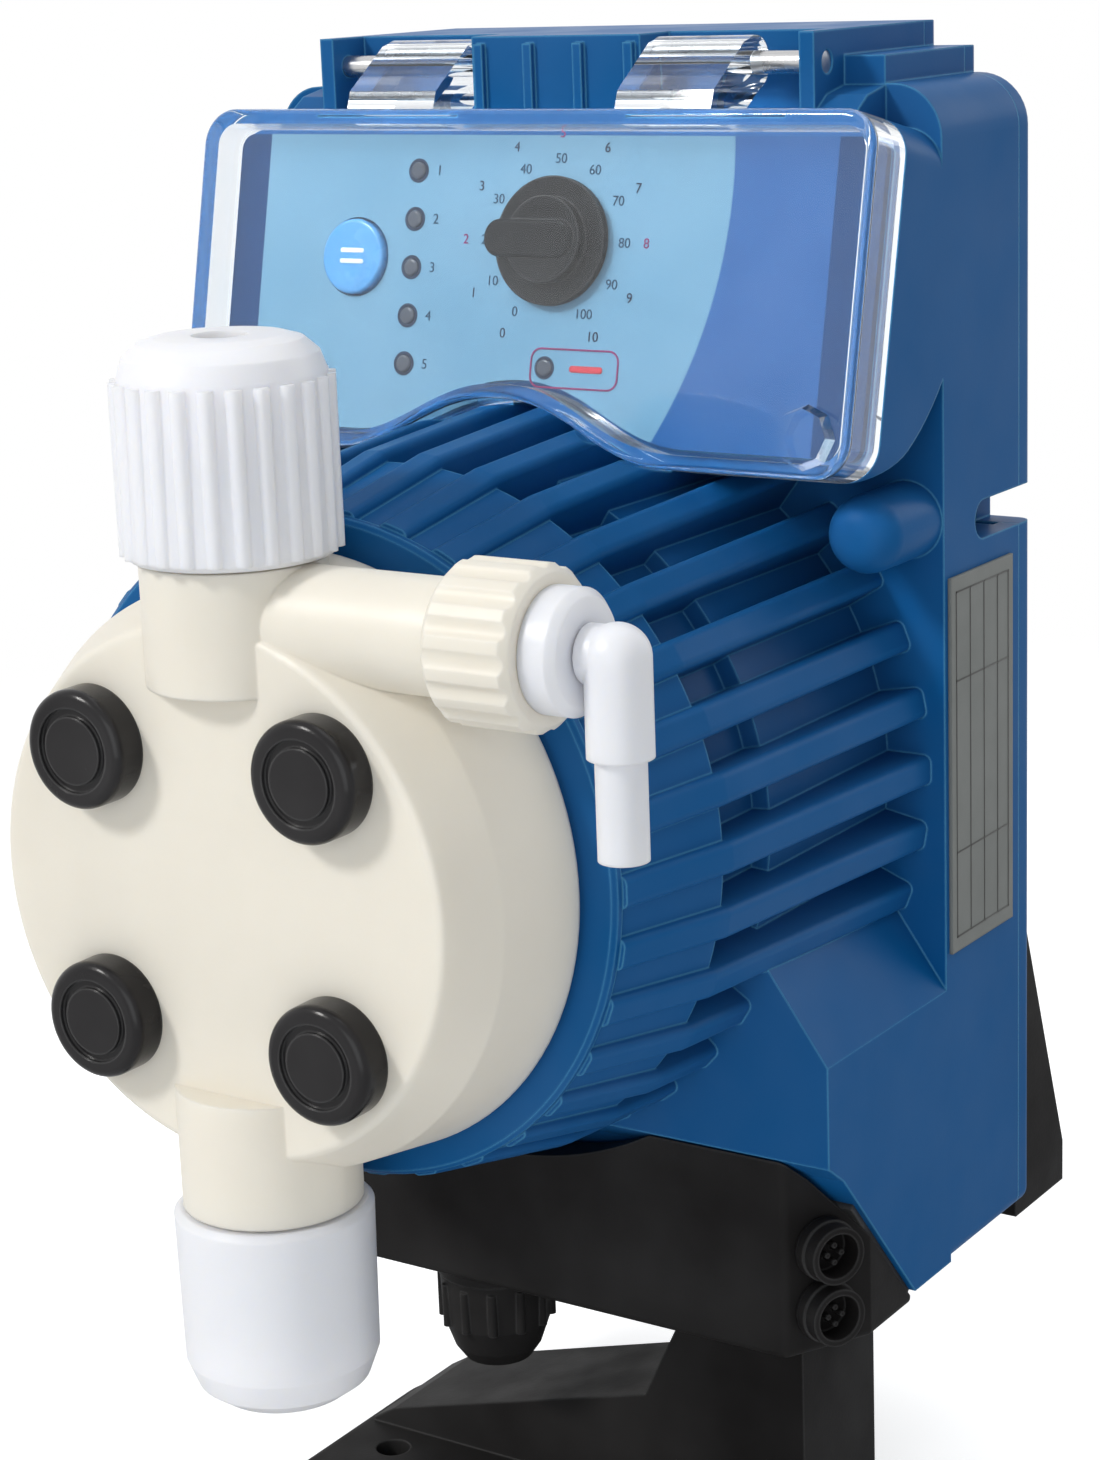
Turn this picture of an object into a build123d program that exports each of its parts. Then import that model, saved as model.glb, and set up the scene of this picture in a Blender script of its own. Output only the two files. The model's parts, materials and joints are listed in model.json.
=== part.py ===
from build123d import *
import os
from math import cos, radians, sin, sqrt

# Diaphragm metering pump, in millimetres.
# The origin is the middle of the foot's bolt pattern, on the face that the foot rests on.
# +X is the pump's right seen from the front, +Y runs to the back and +Z is up.

# ---------------------------------------------------------------- driving dimensions

# Casing
body_width = 107.0
body_bottom = 44.5
body_top = 207.0
body_back = 62.5
body_corner = 7.0
recess_y = 35.0
wall = 3.0
back_thickness = 4.5
back_round = 2.2
foot_corner = 2.0

# Hood along the top, which carries the hinge of the clear cover
shelf_inset = 8.0
shelf_rise = 3.6
hood_inset = 14.0
hood_rise = 3.4
hood_front = 27.0
hood_rib_count = 4
hood_rib_inset = 1.5
hood_rib_width = 1.4
hood_rib_height = 0.9

# Pump axis and the finned solenoid housing
axis_z = 116.0
flange_y = -32.0
flange_wall = 5.0
flange_radius = 43.3
flange_length = 1.6
knee_y = -12.0
knee_radius = 46.4
groove_radius = 42.6
step_y = 2.0
step_radius = 44.8
fin_count = 34
fin_width = 4.2
fin_knee_radius = 47.9
fin_back_radius = 51.4
bore_radius = 38.0
frame_clearance = 2.0
rod_opening_radius = 17.5

# Lower front block and the black terminal cover
lower_front = 1.0
shoulder_low_z = 85.0
shoulder_high_z = 97.0
shoulder_inset = 8.5
terminal_top = 71.0
terminal_side_z = 68.0
terminal_side_y = 5.0
terminal_back_y = 25.0
terminal_front_inset = 6.9
terminal_inset = 0.5
terminal_chamfer_y = 13.0
terminal_bottom = 42.5
terminal_wall = 2.4
terminal_clearance = 0.9
terminal_screw_inset = 15.5
terminal_screw_y = 15.5
terminal_boss_low = 50.5
terminal_boss_length = 10.0
terminal_screw_length = 12.0
gasket_thickness = 0.8
gasket_width = 2.2
gasket_inset = 0.5
terminal_corner = 1.5
terminal_edge = 1.2
connector_radius = 4.0
connector_length = 4.4
connector_pitch = 8.8
connector_z = 53.4
connector_y = 6.0
connector_shank = 2.8
connector_ring = 0.3
connector_ring_width = 1.6
socket_wall = 0.9
socket_floor = 1.0
connector_pin_radius = 0.4
connector_pins = [(-1.1, 0), (1.1, 0), (0, 1.2), (0, -1.2)]

# Panel and clear cover, in a plane that leans back
panel_tilt = 12.5
panel_y = 14.0
panel_drop = 19.0
cover_top = 17.5
cover_low = -28.7
cover_arch = -20.8
cover_arch_half = 27.0
cover_corner = 5.0
cover_wall = 2.0
cover_depth = 8.5
cover_gap = 0.3
panel_inset = 6.4
panel_thickness = 1.2
panel_margin = 0.8
hinge_y = 30.5
hinge_drop = 4.0
hinge_pin_radius = 1.5
lug_radius = 3.5
lug_profile = [(-12.0, -5.5), (-4.7, -7.0), (1.0, -3.3), (0.0, 3.5), (-3.0, 2.8), (-11.0, -2.8)]
hood_cheek = 2.2
lug_outer_gap = 8.3
lug_width = 14.5
lug_inner_gap = 1.0
cover_boss_inset = 6.1
cover_boss_radius = 4.6
cover_boss_height = 1.6

# Controls
knob_x = 3.8
knob_s = 0.6
knob_radius = 8.6
knob_height = 3.6
knob_grip_width = 5.0
knob_skirt = 1.2
knob_hub_drop = 0.6
knob_edge = 0.5
shaft_short = 2.0
knob_hub_radius = 5.8
knob_pointer = 9.0
knob_bore = 2.4
pot_shaft_radius = 3.0
pot_bush_radius = 4.5
pot_width = 16.0
pot_depth = 8.0
button_x = -29.0
button_s = -2.2
button_radius = 5.2
button_proud = 1.0
button_travel = 0.8
led_x = -19.4
led_first_s = 9.8
led_pitch = 6.6
led_count = 5
led_radius = 1.25
led_proud = 0.4
alarm_led_s = -16.2
board_thickness = 1.6
board_behind_panel = 9.5
board_inset = 6.5
board_low_s = -9.0
board_high_s = 12.0
board_post_inset = 9.5
board_post_low = -6.0
board_post_high = 9.0
board_post_radius = 2.4
button_gap = 0.08
button_panel_gap = 0.3
switch_width = 9.0
bay_x = -7.6
bay_half = 16.0
bay_low = -18.8
bay_depth = 7.0
bay_gap = 0.6
button_flange_radius = 6.6
button_flange = 1.0
hinge_pin_seat = 4.0

# Pump head, ports and purge valve
head_rear = -33.5
head_front = -54.0
head_radius = 39.2
head_shoulder_y = -46.5
head_shoulder_radius = 37.2
head_face_radius = 33.5
head_edge = 1.2
port_root = 8.0
port_y = -46.5
neck_radius = 11.4
spigot_radius = 9.4
discharge_neck_top = 156.6
discharge_spigot_top = 168.5
suction_neck_bottom = 74.6
suction_spigot_bottom = 62.0
pocket_radius = 6.9
pocket_length = 17.0
passage_radius = 2.0
chamber_radius = 16.0
chamber_depth = 2.6
passage_offset = 11.0
screw_spacing = 34.7
screw_radius = 2.4
screw_clearance = 0.3
screw_head_radius = 4.2
screw_head_height = 4.0
counterbore_radius = 6.3
counterbore_depth = 6.0
washer_thickness = 1.2
washer_margin = 0.8
cap_radius = 7.5
cap_height = 4.5
cap_wall = 1.2
cap_edge = 1.2
cap_groove_inset = 2.2
cap_groove_width = 1.0
cap_groove_depth = 0.6
purge_z = 149.5
purge_boss_radius = 7.0
purge_boss_end = 33.0
purge_bore_radius = 3.2
purge_tip_x = 13.0

# Fluid-end fits
running_fit = 0.06
loose_fit = 0.3
small_gap = 0.2
stack_fit = 0.1

# Nuts
discharge_nut_radius = 13.5
discharge_nut_low = 157.0
discharge_nut_top = 183.1
discharge_rib_count = 24
discharge_rib_radius = 1.0
discharge_rib_short = 5.5
discharge_shoulder = [(4.5, 1.0), (2.2, 1.8), (0.6, 3.6), (0.0, 5.6)]
suction_nut_radius = 12.65
suction_nut_high = 74.2
suction_nut_bottom = 48.0
suction_shoulder = [(6.0, 0.3), (2.6, 1.6), (0.8, 4.0), (0.0, 7.0)]
nut_end_wall = 3.0
nut_lip = 0.6
suction_lip = 0.8
nut_pocket_inset = 1.5
nut_pocket_step = 2.0
hose_hole_radius = 3.3

# Ball valves
ball_radius = 2.4
ball_lift = 1.5
seat_bore = 1.8
seat_length = 4.0
seat_gap = 0.02
stub_length = 3.2
nipple_flange = 2.0
nipple_flange_radius = 9.0
nipple_length = 9.5
cage_bore = 2.7
flow_slot_reach = 1.2
flow_slot_width = 1.2
oring_section = 0.9
nipple_radius = 2.2
nipple_bore = 1.4

# Purge valve
purge_knob_start = 33.4
purge_knob_end = 45.4
purge_knob_radius = 9.75
purge_flute_count = 16
purge_flute_radius = 1.8
purge_flute_depth = 0.5
purge_collar_radius = 7.4
purge_collar_end = 50.0
purge_elbow_x = 54.0
purge_elbow_radius = 3.9
purge_nozzle_radius = 3.0
purge_nozzle_low = 126.0
purge_nozzle_length = 12.0
purge_channel_radius = 1.2
purge_ring_x = 24.0
purge_spigot_radius = 4.0
purge_spigot_length = 2.8
purge_edge = 1.0
purge_ring_section = 0.6
purge_stem_seat = 2.0
collar_gap = 0.1
collar_lip = 1.6
elbow_spigot_depth = 1.5
elbow_arm_margin = 0.5

# Solenoid and diaphragm
flange_ring_thickness = 1.5
diaphragm_radius = 21.3
diaphragm_rim = 2.4
diaphragm_web = 1.4
clamp_inner_radius = 17.0
support_radius = 12.5
support_thickness = 2.6
rod_radius = 4.0
plate_thickness = 5.0
frame_wall = 4.0
frame_back_y = 32.0
pole_radius = 12.8
coil_gap = 1.5
bobbin_wall = 1.6
pole_end_y = 2.0
plunger_gap = 1.6
plunger_radius = 12.0
plunger_length = 22.0
bush_length = 6.0
bush_wall = 2.0
spring_radius = 7.2
spring_wire = 0.8
spring_turns = 5.0
spring_pocket_radius = 8.3
spring_pocket_depth = 12.0
stop_radius = 5.0
stop_proud = 4.0
stop_slot_depth = 1.0
stop_slot_width = 1.2
frame_edge = 1.5
plunger_edge = 0.6
plunger_end_wall = 2.0
bobbin_lip = 0.5

# Cable gland
gland_x = -9.0
gland_y = 13.5
gland_radius = 8.4
gland_nut_length = 13.5
gland_collar = 3.2
cable_radius = 3.4
gland_tube_radius = 6.0
gland_tube_bore = 4.6
gland_tube_low = 33.5
gland_tube_top = 48.6
gland_seal_radius = 5.2
gland_seal_low = 28.4
gland_end_hole = 4.2
gland_locknut_radius = 7.6
gland_locknut_height = 2.2
gland_shoulder = [(6.0, 0.6), (2.0, 2.0)]
gland_end_land = 0.8
gland_nut_step = 0.2
gland_rib_count = 12
gland_rib_radius = 0.7
gland_rib_low = 6.0
gland_rib_short = 7.0

# Foot
foot_half = 40.0
foot_front = -41.0
foot_back = 41.0
foot_thickness = 4.5
foot_round = 10.0
foot_edge = 1.5
foot_hole_x = 60.0
foot_hole_y = 28.0
foot_hole_radius = 2.6
column_left = 12.0
column_right = 38.4
column_front = 20.0
column_top_left = 21.5
arm_tip = -38.0
arm_tip_z = 5.0
arm_end = -34.0
arm_end_z = 7.5
arm_root_z = 21.0
rail_front = 25.6
rail_half = 28.0
rail_thickness = 3.8
wedge_inset = 2.5
wedge_back = 79.0
wedge_top = 94.5
wedge_bottom = 47.0
wedge_web = 3.0
bracket_screw_x = 19.0
bracket_screw_y = 50.0
bracket_boss = 11.0
bracket_screw_length = 12.0

# Small fasteners
m4_radius = 2.0
m4_head_radius = 3.6
m4_head_height = 2.4
m3_radius = 1.5
m3_head_radius = 2.8
m3_head_height = 1.8
m3_length = 9.0
board_screw_short = 0.5
board_screw_head_trim = 0.6

# Hanging slots and side bosses
slot_z = 148.6
slot_half = 2.65
slot_front = 47.0
slot_depth = 6.5
side_boss_inset = 5.5
side_boss_z = 150.2
side_boss_radius = 5.2
side_boss_front = 20.0

# Rating plate on the right side
plate_low = 90.0
plate_high = 142.4
plate_front = 36.0
plate_back = 55.0
plate_sheet = 0.5

# Rear cover fasteners and seal
back_screw_inset = 6.7
back_screw_rise = 6.5
back_screw_drop = 6.8
boss_radius = 4.2
seal_width = 1.8
seal_height = 1.6

# Inner components
power_board_half = 38.0
power_board_low = 60.0
power_board_high = 112.0
power_board_y = 50.5
power_post_x = 33.0
power_post_low = 64.0
power_post_high = 108.0
transformer_x = -8.0
transformer_z = 84.0
transformer_width = 40.0
transformer_height = 34.0
transformer_depth = 12.0
transformer_stack = 9.0
capacitor_x = 24.0
capacitor_radius = 5.0
capacitor_length = 11.5
capacitor_edge = 0.8
transformer_edge = 1.0

# ---------------------------------------------------------------- worked-out values

body_half = body_width / 2
frame_radius = bore_radius - frame_clearance
coil_outer = frame_radius - frame_wall - coil_gap
shelf_half = body_half - shelf_inset
shelf_top = body_top + shelf_rise
hood_half = body_half - hood_inset
hood_top = shelf_top + hood_rise
shoulder_high_half = body_half - shoulder_inset
terminal_half = body_half - terminal_inset
terminal_front_half = body_half - terminal_front_inset
terminal_screw_x = body_half - terminal_screw_inset
panel_z = body_top - panel_drop
hinge_z = hood_top - hinge_drop
pocket_outer = hood_half - hood_cheek
lug_outer = pocket_outer - lug_outer_gap
lug_inner = lug_outer - lug_width
pocket_inner = lug_inner - lug_inner_gap
hood_rib_pitch = 2 * (pocket_inner - hood_rib_inset) / (hood_rib_count - 1)
cover_boss_x = body_half - cover_boss_inset
board_width = body_width - 2 * board_inset
board_post_x = body_half - board_post_inset
wedge_half = body_half - wedge_inset
side_boss_x = body_half - side_boss_inset
back_screw_x = body_half - back_screw_inset
back_screw_low = body_bottom + back_screw_rise
back_screw_high = body_top - back_screw_drop
casing_back = body_back - back_thickness
panel_plane = Plane(
    origin=(0, panel_y, panel_z),
    x_dir=(1, 0, 0),
    z_dir=(0, -cos(radians(panel_tilt)), sin(radians(panel_tilt))),
)
panel_floor = panel_inset + panel_thickness
pump_axis = Axis((0, 0, axis_z), (0, 1, 0))
port_axis = Axis((0, port_y, 0), (0, 0, 1))
purge_axis = Axis((0, port_y, purge_z), (1, 0, 0))
port_plane = Plane.XZ.offset(-port_y)
plate_front_y = flange_y + flange_wall
plate_back_y = plate_front_y + plate_thickness
frame_front_y = plate_back_y
support_rear = head_rear + small_gap + support_thickness
wedge_side = [
    (body_back, wedge_top),
    (wedge_back, wedge_bottom),
    (wedge_back, body_bottom - rail_thickness),
    (body_back, body_bottom - rail_thickness),
]
wedge_hollow = [
    (body_back - 1, wedge_top - 2.5 * wedge_web),
    (body_back, wedge_top - 2.5 * wedge_web),
    (wedge_back - wedge_web, wedge_bottom + wedge_web / 2),
    (body_back - 1, wedge_bottom + wedge_web / 2),
]
plunger_front = pole_end_y + plunger_gap
plunger_back = plunger_front + plunger_length
back_screws = [(x, z) for x in (-back_screw_x, back_screw_x) for z in (back_screw_low, back_screw_high)]
bracket_screws = [(-bracket_screw_x, bracket_screw_y), (bracket_screw_x, bracket_screw_y)]
terminal_screws = [(-terminal_screw_x, terminal_screw_y), (terminal_screw_x, terminal_screw_y)]
board_posts = [(x, s) for x in (-board_post_x, board_post_x) for s in (board_post_low, board_post_high)]
led_places = [(led_x, led_first_s - i * led_pitch) for i in range(led_count)] + [(knob_x, alarm_led_s)]
half_screws = screw_spacing / 2
head_screws_at = [(x, axis_z + z) for x in (-half_screws, half_screws) for z in (-half_screws, half_screws)]
board_front = panel_inset + board_behind_panel
post_length = board_front - cover_depth - wall
button_hole = button_radius + button_gap


# ---------------------------------------------------------------- helpers


def closed(plane, points):
    """A closed polygon on a plane."""
    with BuildSketch(plane) as shape:
        with BuildLine():
            Polyline(*points, close=True)
        make_face()
    return shape.sketch


def about_pump_axis(points):
    """Half section of a piece turned about the pump axis, as (y, radius) points."""
    return closed(Plane.YZ, [(y, axis_z + r) for y, r in points])


def about_port_axis(points):
    """Half section of a piece turned about the vertical port axis, as (z, radius) points."""
    return closed(port_plane, [(r, z) for z, r in points])


def about_purge_axis(points):
    """Half section of a piece turned about the purge axis, as (x, radius) points."""
    return closed(port_plane, [(x, purge_z + r) for x, r in points])


def disc(plane, radius, x=0.0, y=0.0):
    """A circle on a plane, at (x, y) in that plane."""
    with BuildSketch(plane) as shape:
        with Locations((x, y)):
            Circle(radius)
    return shape.sketch


def ring(plane, outer, inner, x=0.0, y=0.0):
    """A flat ring on a plane, at (x, y) in that plane."""
    with BuildSketch(plane) as shape:
        with Locations((x, y)):
            Circle(outer)
            Circle(inner, mode=Mode.SUBTRACT)
    return shape.sketch


def across(y):
    """The upright plane that faces the front at depth y."""
    return Plane.XZ.offset(-y)


def circles(plane, places, radius):
    """Equal circles on a plane."""
    with BuildSketch(plane) as shape:
        with Locations(*places):
            Circle(radius)
    return shape.sketch


def screw_circles(y, radius):
    """Circles of the pump head's four screws on the upright plane at depth y."""
    return circles(across(y), head_screws_at, radius)


def slot_shape(side):
    """Side view of a hanging slot, open at the back, on the casing's side."""
    with BuildSketch(Plane.YZ.offset(side * body_half)) as shape:
        with Locations((slot_front, slot_z)):
            Circle(slot_half)
            Rectangle(body_back - slot_front + 1, 2 * slot_half, align=(Align.MIN, Align.CENTER))
    return shape.sketch


def slot_wall(side, y, inset):
    """Front view of the wall around a hanging slot, on the upright plane at depth y."""
    inner = side * (body_half - slot_depth - wall + inset)
    outer = side * (body_half - wall)
    half = slot_half + wall - inset
    corners = [
        (inner, slot_z - half),
        (outer, slot_z - half),
        (outer, slot_z + half),
        (inner, slot_z + half),
    ]
    return closed(across(y), corners)


def panel_box(half, low, high, depth, middle=knob_x):
    """A rectangle parallel to the panel, at a depth behind the clear cover's face."""
    with BuildSketch(panel_plane.offset(-depth)) as shape:
        with Locations((middle, (low + high) / 2)):
            Rectangle(2 * half, high - low)
    return shape.sketch


def cover_outline(plane, inset=0.0):
    """Outline of the clear cover: a rounded oblong, arched up over the solenoid housing."""
    half = body_half - inset
    top = cover_top - inset
    low = cover_low + inset
    arch = cover_arch + inset
    corner = cover_corner - inset
    with BuildSketch(plane) as shape:
        with BuildLine():
            Line((0, top), (half - corner, top))
            RadiusArc((half - corner, top), (half, top - corner), corner)
            Line((half, top - corner), (half, low + corner))
            RadiusArc((half, low + corner), (half - corner, low), corner)
            Line((half - corner, low), (cover_arch_half, low))
            Spline((cover_arch_half, low), (0, arch), tangents=((-1, 0), (-1, 0)))
            mirror(about=Plane.YZ)
        make_face()
    return shape.sketch


def body_outline(y, inset=0.0):
    """Outline of the casing seen from the front, with the stepped hood on top."""
    half = body_half - inset
    top = body_top - inset
    low = body_bottom + inset
    shelf = shelf_half - inset
    hood = hood_half - inset
    round_top = body_corner - inset
    round_low = max(foot_corner - inset, 0.5)
    with BuildSketch(across(y)) as shape:
        with BuildLine():
            Line((0, hood_top - inset), (hood, hood_top - inset))
            Line((hood, hood_top - inset), (hood, shelf_top - inset))
            Line((hood, shelf_top - inset), (shelf, shelf_top - inset))
            Line((shelf, shelf_top - inset), (shelf, top))
            Line((shelf, top), (half - round_top, top))
            RadiusArc((half - round_top, top), (half, top - round_top), round_top)
            Line((half, top - round_top), (half, low + round_low))
            RadiusArc((half, low + round_low), (half - round_low, low), round_low)
            Line((half - round_low, low), (0, low))
            mirror(about=Plane.YZ)
        make_face()
    return shape.sketch


def screw(seat, shank, length, head, head_height):
    """A screw whose head stands on the seat plane, with its shank behind it."""
    with BuildPart(mode=Mode.PRIVATE) as piece:
        extrude(disc(seat, head), amount=head_height)
        chamfer(piece.faces().sort_by(Axis(seat.origin, seat.z_dir))[-1].edges(), head_height / 5)
        extrude(disc(seat, shank), amount=-length)
    return piece.part


def plane_at(x, y, z, facing):
    """A plane through a point that faces along a direction."""
    return Plane(origin=(x, y, z), z_dir=facing)


def write(piece, name):
    """Label a finished piece and write its STEP file."""
    piece.part.label = name
    export_step(piece.part, f"parts/{name}.step")


os.makedirs("parts", exist_ok=True)


# ---------------------------------------------------------------- front casing

rim_low = panel_plane.from_local_coords(Vector(0, cover_low, -cover_depth))
rim_high = panel_plane.from_local_coords(Vector(0, cover_top, -cover_depth))
scoop_rise = 11.0
scoop_run = 8.0
lug_floor = rim_high.Z - 0.4
pocket_back = hinge_y + lug_radius + 0.4
upper_cavity_low = -12.0
upper_cavity_high = cover_top - wall
block_reach = 30.0
cavity_reach = 18.0

with BuildPart() as fin:
    extrude(
        closed(
            Plane.YZ.offset(-fin_width / 2),
            [
                (flange_y + flange_length, axis_z + flange_radius - wall),
                (flange_y + flange_length, axis_z + flange_radius + 0.6),
                (knee_y, axis_z + fin_knee_radius),
                (recess_y + 1, axis_z + fin_back_radius),
                (recess_y + 1, axis_z + groove_radius - 1),
                (knee_y, axis_z + groove_radius - 1),
            ],
        ),
        amount=fin_width,
    )
    fin_crest = fin.edges().filter_by(lambda e: e.center().Z > axis_z + flange_radius)
    fillet(fin_crest.filter_by(lambda e: abs(e.center().X) > fin_width / 2 - 0.1), fin_width / 4)

with BuildPart() as side_boss:
    extrude(
        disc(across(side_boss_front), side_boss_radius, 0, side_boss_z),
        amount=-(recess_y + 1 - side_boss_front),
    )
    fillet(side_boss.edges().sort_by(Axis.Y)[0], side_boss_radius - 1.2)

with BuildPart() as front_casing:
    # Main box, hood and the block that carries the panel
    extrude(body_outline(recess_y), amount=-(casing_back - recess_y))
    extrude(
        closed(
            across(hood_front),
            [
                (-hood_half, body_top - 5),
                (hood_half, body_top - 5),
                (hood_half, hood_top),
                (-hood_half, hood_top),
            ],
        ),
        amount=-(recess_y - hood_front + 1),
    )
    extrude(cover_outline(panel_plane.offset(-cover_depth)), amount=-block_reach)
    extrude(
        closed(
            Plane.YZ.offset(-shelf_half),
            [
                (rim_high.Y, rim_high.Z),
                (rim_high.Y + 4, rim_high.Z + 2.6),
                (recess_y + 1, body_top),
                (recess_y + 1, rim_high.Z - 5),
                (rim_high.Y + 1, rim_high.Z - 5),
            ],
        ),
        amount=2 * shelf_half,
    )
    # Scooped underside of the panel block
    with BuildSketch(Plane.YZ) as scoop:
        with BuildLine():
            ThreePointArc(
                (rim_low.Y, rim_low.Z),
                (rim_low.Y + scoop_run, rim_low.Z + scoop_rise / 4),
                (recess_y, rim_low.Z + scoop_rise),
            )
            Line((recess_y, rim_low.Z + scoop_rise), (recess_y, rim_low.Z - 3 * scoop_rise))
            Line((recess_y, rim_low.Z - 3 * scoop_rise), (rim_low.Y, rim_low.Z - 3 * scoop_rise))
            Line((rim_low.Y, rim_low.Z - 3 * scoop_rise), (rim_low.Y, rim_low.Z))
        make_face()
    extrude(amount=body_width, both=True, mode=Mode.SUBTRACT)
    # Lower block with its sloping shoulders
    extrude(
        closed(
            across(lower_front),
            [
                (-body_half, body_bottom),
                (body_half, body_bottom),
                (body_half, shoulder_low_z),
                (shoulder_high_half, shoulder_high_z),
                (-shoulder_high_half, shoulder_high_z),
                (-body_half, shoulder_low_z),
            ],
        ),
        amount=-(recess_y - lower_front + 1),
    )
    # Room for the terminal cover under the lower block
    extrude(
        closed(
            Plane.YZ,
            [
                (lower_front - 1, terminal_top),
                (lower_front, terminal_top),
                (terminal_side_y, terminal_side_z),
                (terminal_back_y, body_bottom),
                (terminal_back_y, body_bottom - 1),
                (lower_front - 1, body_bottom - 1),
            ],
        ),
        amount=body_width,
        both=True,
        mode=Mode.SUBTRACT,
    )
    # Cavities, open at the back
    extrude(body_outline(recess_y + wall, inset=wall), amount=-body_back, mode=Mode.SUBTRACT)
    with BuildSketch(panel_plane.offset(-cover_depth - wall)) as upper_cavity:
        with Locations((0, (upper_cavity_low + upper_cavity_high) / 2)):
            Rectangle(body_width - 2 * wall, upper_cavity_high - upper_cavity_low)
    extrude(amount=-cavity_reach, mode=Mode.SUBTRACT)
    extrude(
        closed(
            Plane.YZ.offset(wall - body_half),
            [
                (lower_front + wall, terminal_top + wall),
                (terminal_side_y + wall, terminal_side_z + wall),
                (terminal_back_y + wall, body_bottom + wall),
                (recess_y + wall + 1, body_bottom + wall),
                (recess_y + wall + 1, shoulder_low_z - wall),
                (lower_front + wall, shoulder_low_z - wall),
            ],
        ),
        amount=body_width - 2 * wall,
        mode=Mode.SUBTRACT,
    )
    # Solenoid housing with its fins
    revolve(
        about_pump_axis(
            [
                (flange_y, 0),
                (flange_y, flange_radius - 0.6),
                (flange_y + 0.6, flange_radius),
                (flange_y + flange_length, flange_radius),
                (flange_y + flange_length, flange_radius - 0.6),
                (knee_y, knee_radius),
                (knee_y + 0.8, groove_radius),
                (step_y, groove_radius),
                (step_y + 0.6, step_radius),
                (recess_y + 2, step_radius),
                (recess_y + 2, 0),
            ]
        ),
        axis=pump_axis,
    )
    for i in range(fin_count):
        add(fin.part.rotate(pump_axis, (i + 0.5) * 360 / fin_count))
    bore_length = recess_y + wall - plate_front_y + 1
    extrude(disc(across(plate_front_y), bore_radius, 0, axis_z), amount=-bore_length, mode=Mode.SUBTRACT)
    extrude(disc(across(flange_y), rod_opening_radius, 0, axis_z), amount=-flange_wall, mode=Mode.SUBTRACT)
    extrude(
        screw_circles(flange_y, screw_radius + screw_clearance),
        amount=-flange_wall,
        mode=Mode.SUBTRACT,
    )
    # Bosses for the rear cover's screws and for the bracket's screws
    boss_length = casing_back - seal_height - loose_fit - recess_y - wall
    extrude(circles(across(recess_y + wall), back_screws, boss_radius), amount=-boss_length)
    extrude(
        circles(across(recess_y + wall), back_screws, m3_radius),
        amount=-boss_length,
        mode=Mode.SUBTRACT,
    )
    bracket_plane = Plane.XY.offset(body_bottom)
    extrude(circles(bracket_plane, bracket_screws, boss_radius), amount=bracket_boss)
    extrude(circles(bracket_plane, bracket_screws, m4_radius), amount=bracket_boss, mode=Mode.SUBTRACT)
    # Domed bosses at the sides, and the hanging slots behind them
    for side in (-1, 1):
        add(side_boss.part.moved(Location((side * side_boss_x, 0, 0))))
        slot_wall_length = casing_back - seal_height - loose_fit - slot_front + slot_half + wall
        extrude(slot_wall(side, slot_front - slot_half - wall, 0), amount=-slot_wall_length)
        extrude(slot_shape(side), amount=-side * slot_depth, mode=Mode.SUBTRACT)
    # Pockets for the cover's lugs, holes for its pins and the ribs between them
    for side in (-1, 1):
        extrude(
            closed(
                across(hood_front - 7),
                [
                    (side * pocket_inner, lug_floor),
                    (side * pocket_outer, lug_floor),
                    (side * pocket_outer, hood_top + 1),
                    (side * pocket_inner, hood_top + 1),
                ],
            ),
            amount=-(pocket_back - hood_front + 7),
            mode=Mode.SUBTRACT,
        )
        pin_end = Plane.YZ.offset(side * (hood_half + 1))
        pin_hole = hood_half + 1 - pocket_inner + hinge_pin_seat
        extrude(
            disc(pin_end, hinge_pin_radius, hinge_y, hinge_z),
            amount=-side * pin_hole,
            mode=Mode.SUBTRACT,
        )
    with BuildSketch(across(hood_front)):
        with Locations((0, (hood_top + lug_floor) / 2)):
            with GridLocations(hood_rib_pitch, 1, hood_rib_count, 1):
                Rectangle(hood_rib_width, hood_top - lug_floor - 2)
    extrude(amount=hood_rib_height)
    # Fins trimmed clear of the cover, then the seat of the control panel, its posts and its holes
    extrude(
        cover_outline(panel_plane.offset(-cover_depth), -loose_fit),
        amount=body_half,
        mode=Mode.SUBTRACT,
    )
    panel_step = cover_depth - panel_floor
    extrude(cover_outline(panel_plane.offset(-cover_depth), cover_wall + panel_margin), amount=panel_step)
    post_plane = panel_plane.offset(-cover_depth - wall)
    extrude(circles(post_plane, board_posts, board_post_radius), amount=-post_length)
    extrude(circles(post_plane, board_posts, m3_radius), amount=-post_length, mode=Mode.SUBTRACT)
    hole_plane = panel_plane.offset(-panel_floor)
    hole_depth = panel_step + wall
    extrude(disc(hole_plane, pot_bush_radius, knob_x, knob_s), amount=-hole_depth, mode=Mode.SUBTRACT)
    extrude(disc(hole_plane, button_hole, button_x, button_s), amount=-hole_depth, mode=Mode.SUBTRACT)
    extrude(circles(hole_plane, led_places, led_radius), amount=-hole_depth, mode=Mode.SUBTRACT)
    extrude(
        panel_box(bay_half, bay_low, upper_cavity_low + 1, cover_depth + wall, bay_x),
        amount=-bay_depth,
        mode=Mode.SUBTRACT,
    )
    # Bosses for the terminal cover's screws
    terminal_boss_plane = Plane.XY.offset(terminal_boss_low)
    extrude(circles(terminal_boss_plane, terminal_screws, boss_radius), amount=terminal_boss_length)
    extrude(circles(terminal_boss_plane, terminal_screws, m3_radius), amount=m3_length, mode=Mode.SUBTRACT)
write(front_casing, "front_casing")


# ---------------------------------------------------------------- rear casing

power_posts = [(x, z) for x in (-power_post_x, power_post_x) for z in (power_post_low, power_post_high)]
power_post_front = power_board_y + board_thickness
back_seat_y = body_back - m3_head_height - loose_fit

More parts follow.
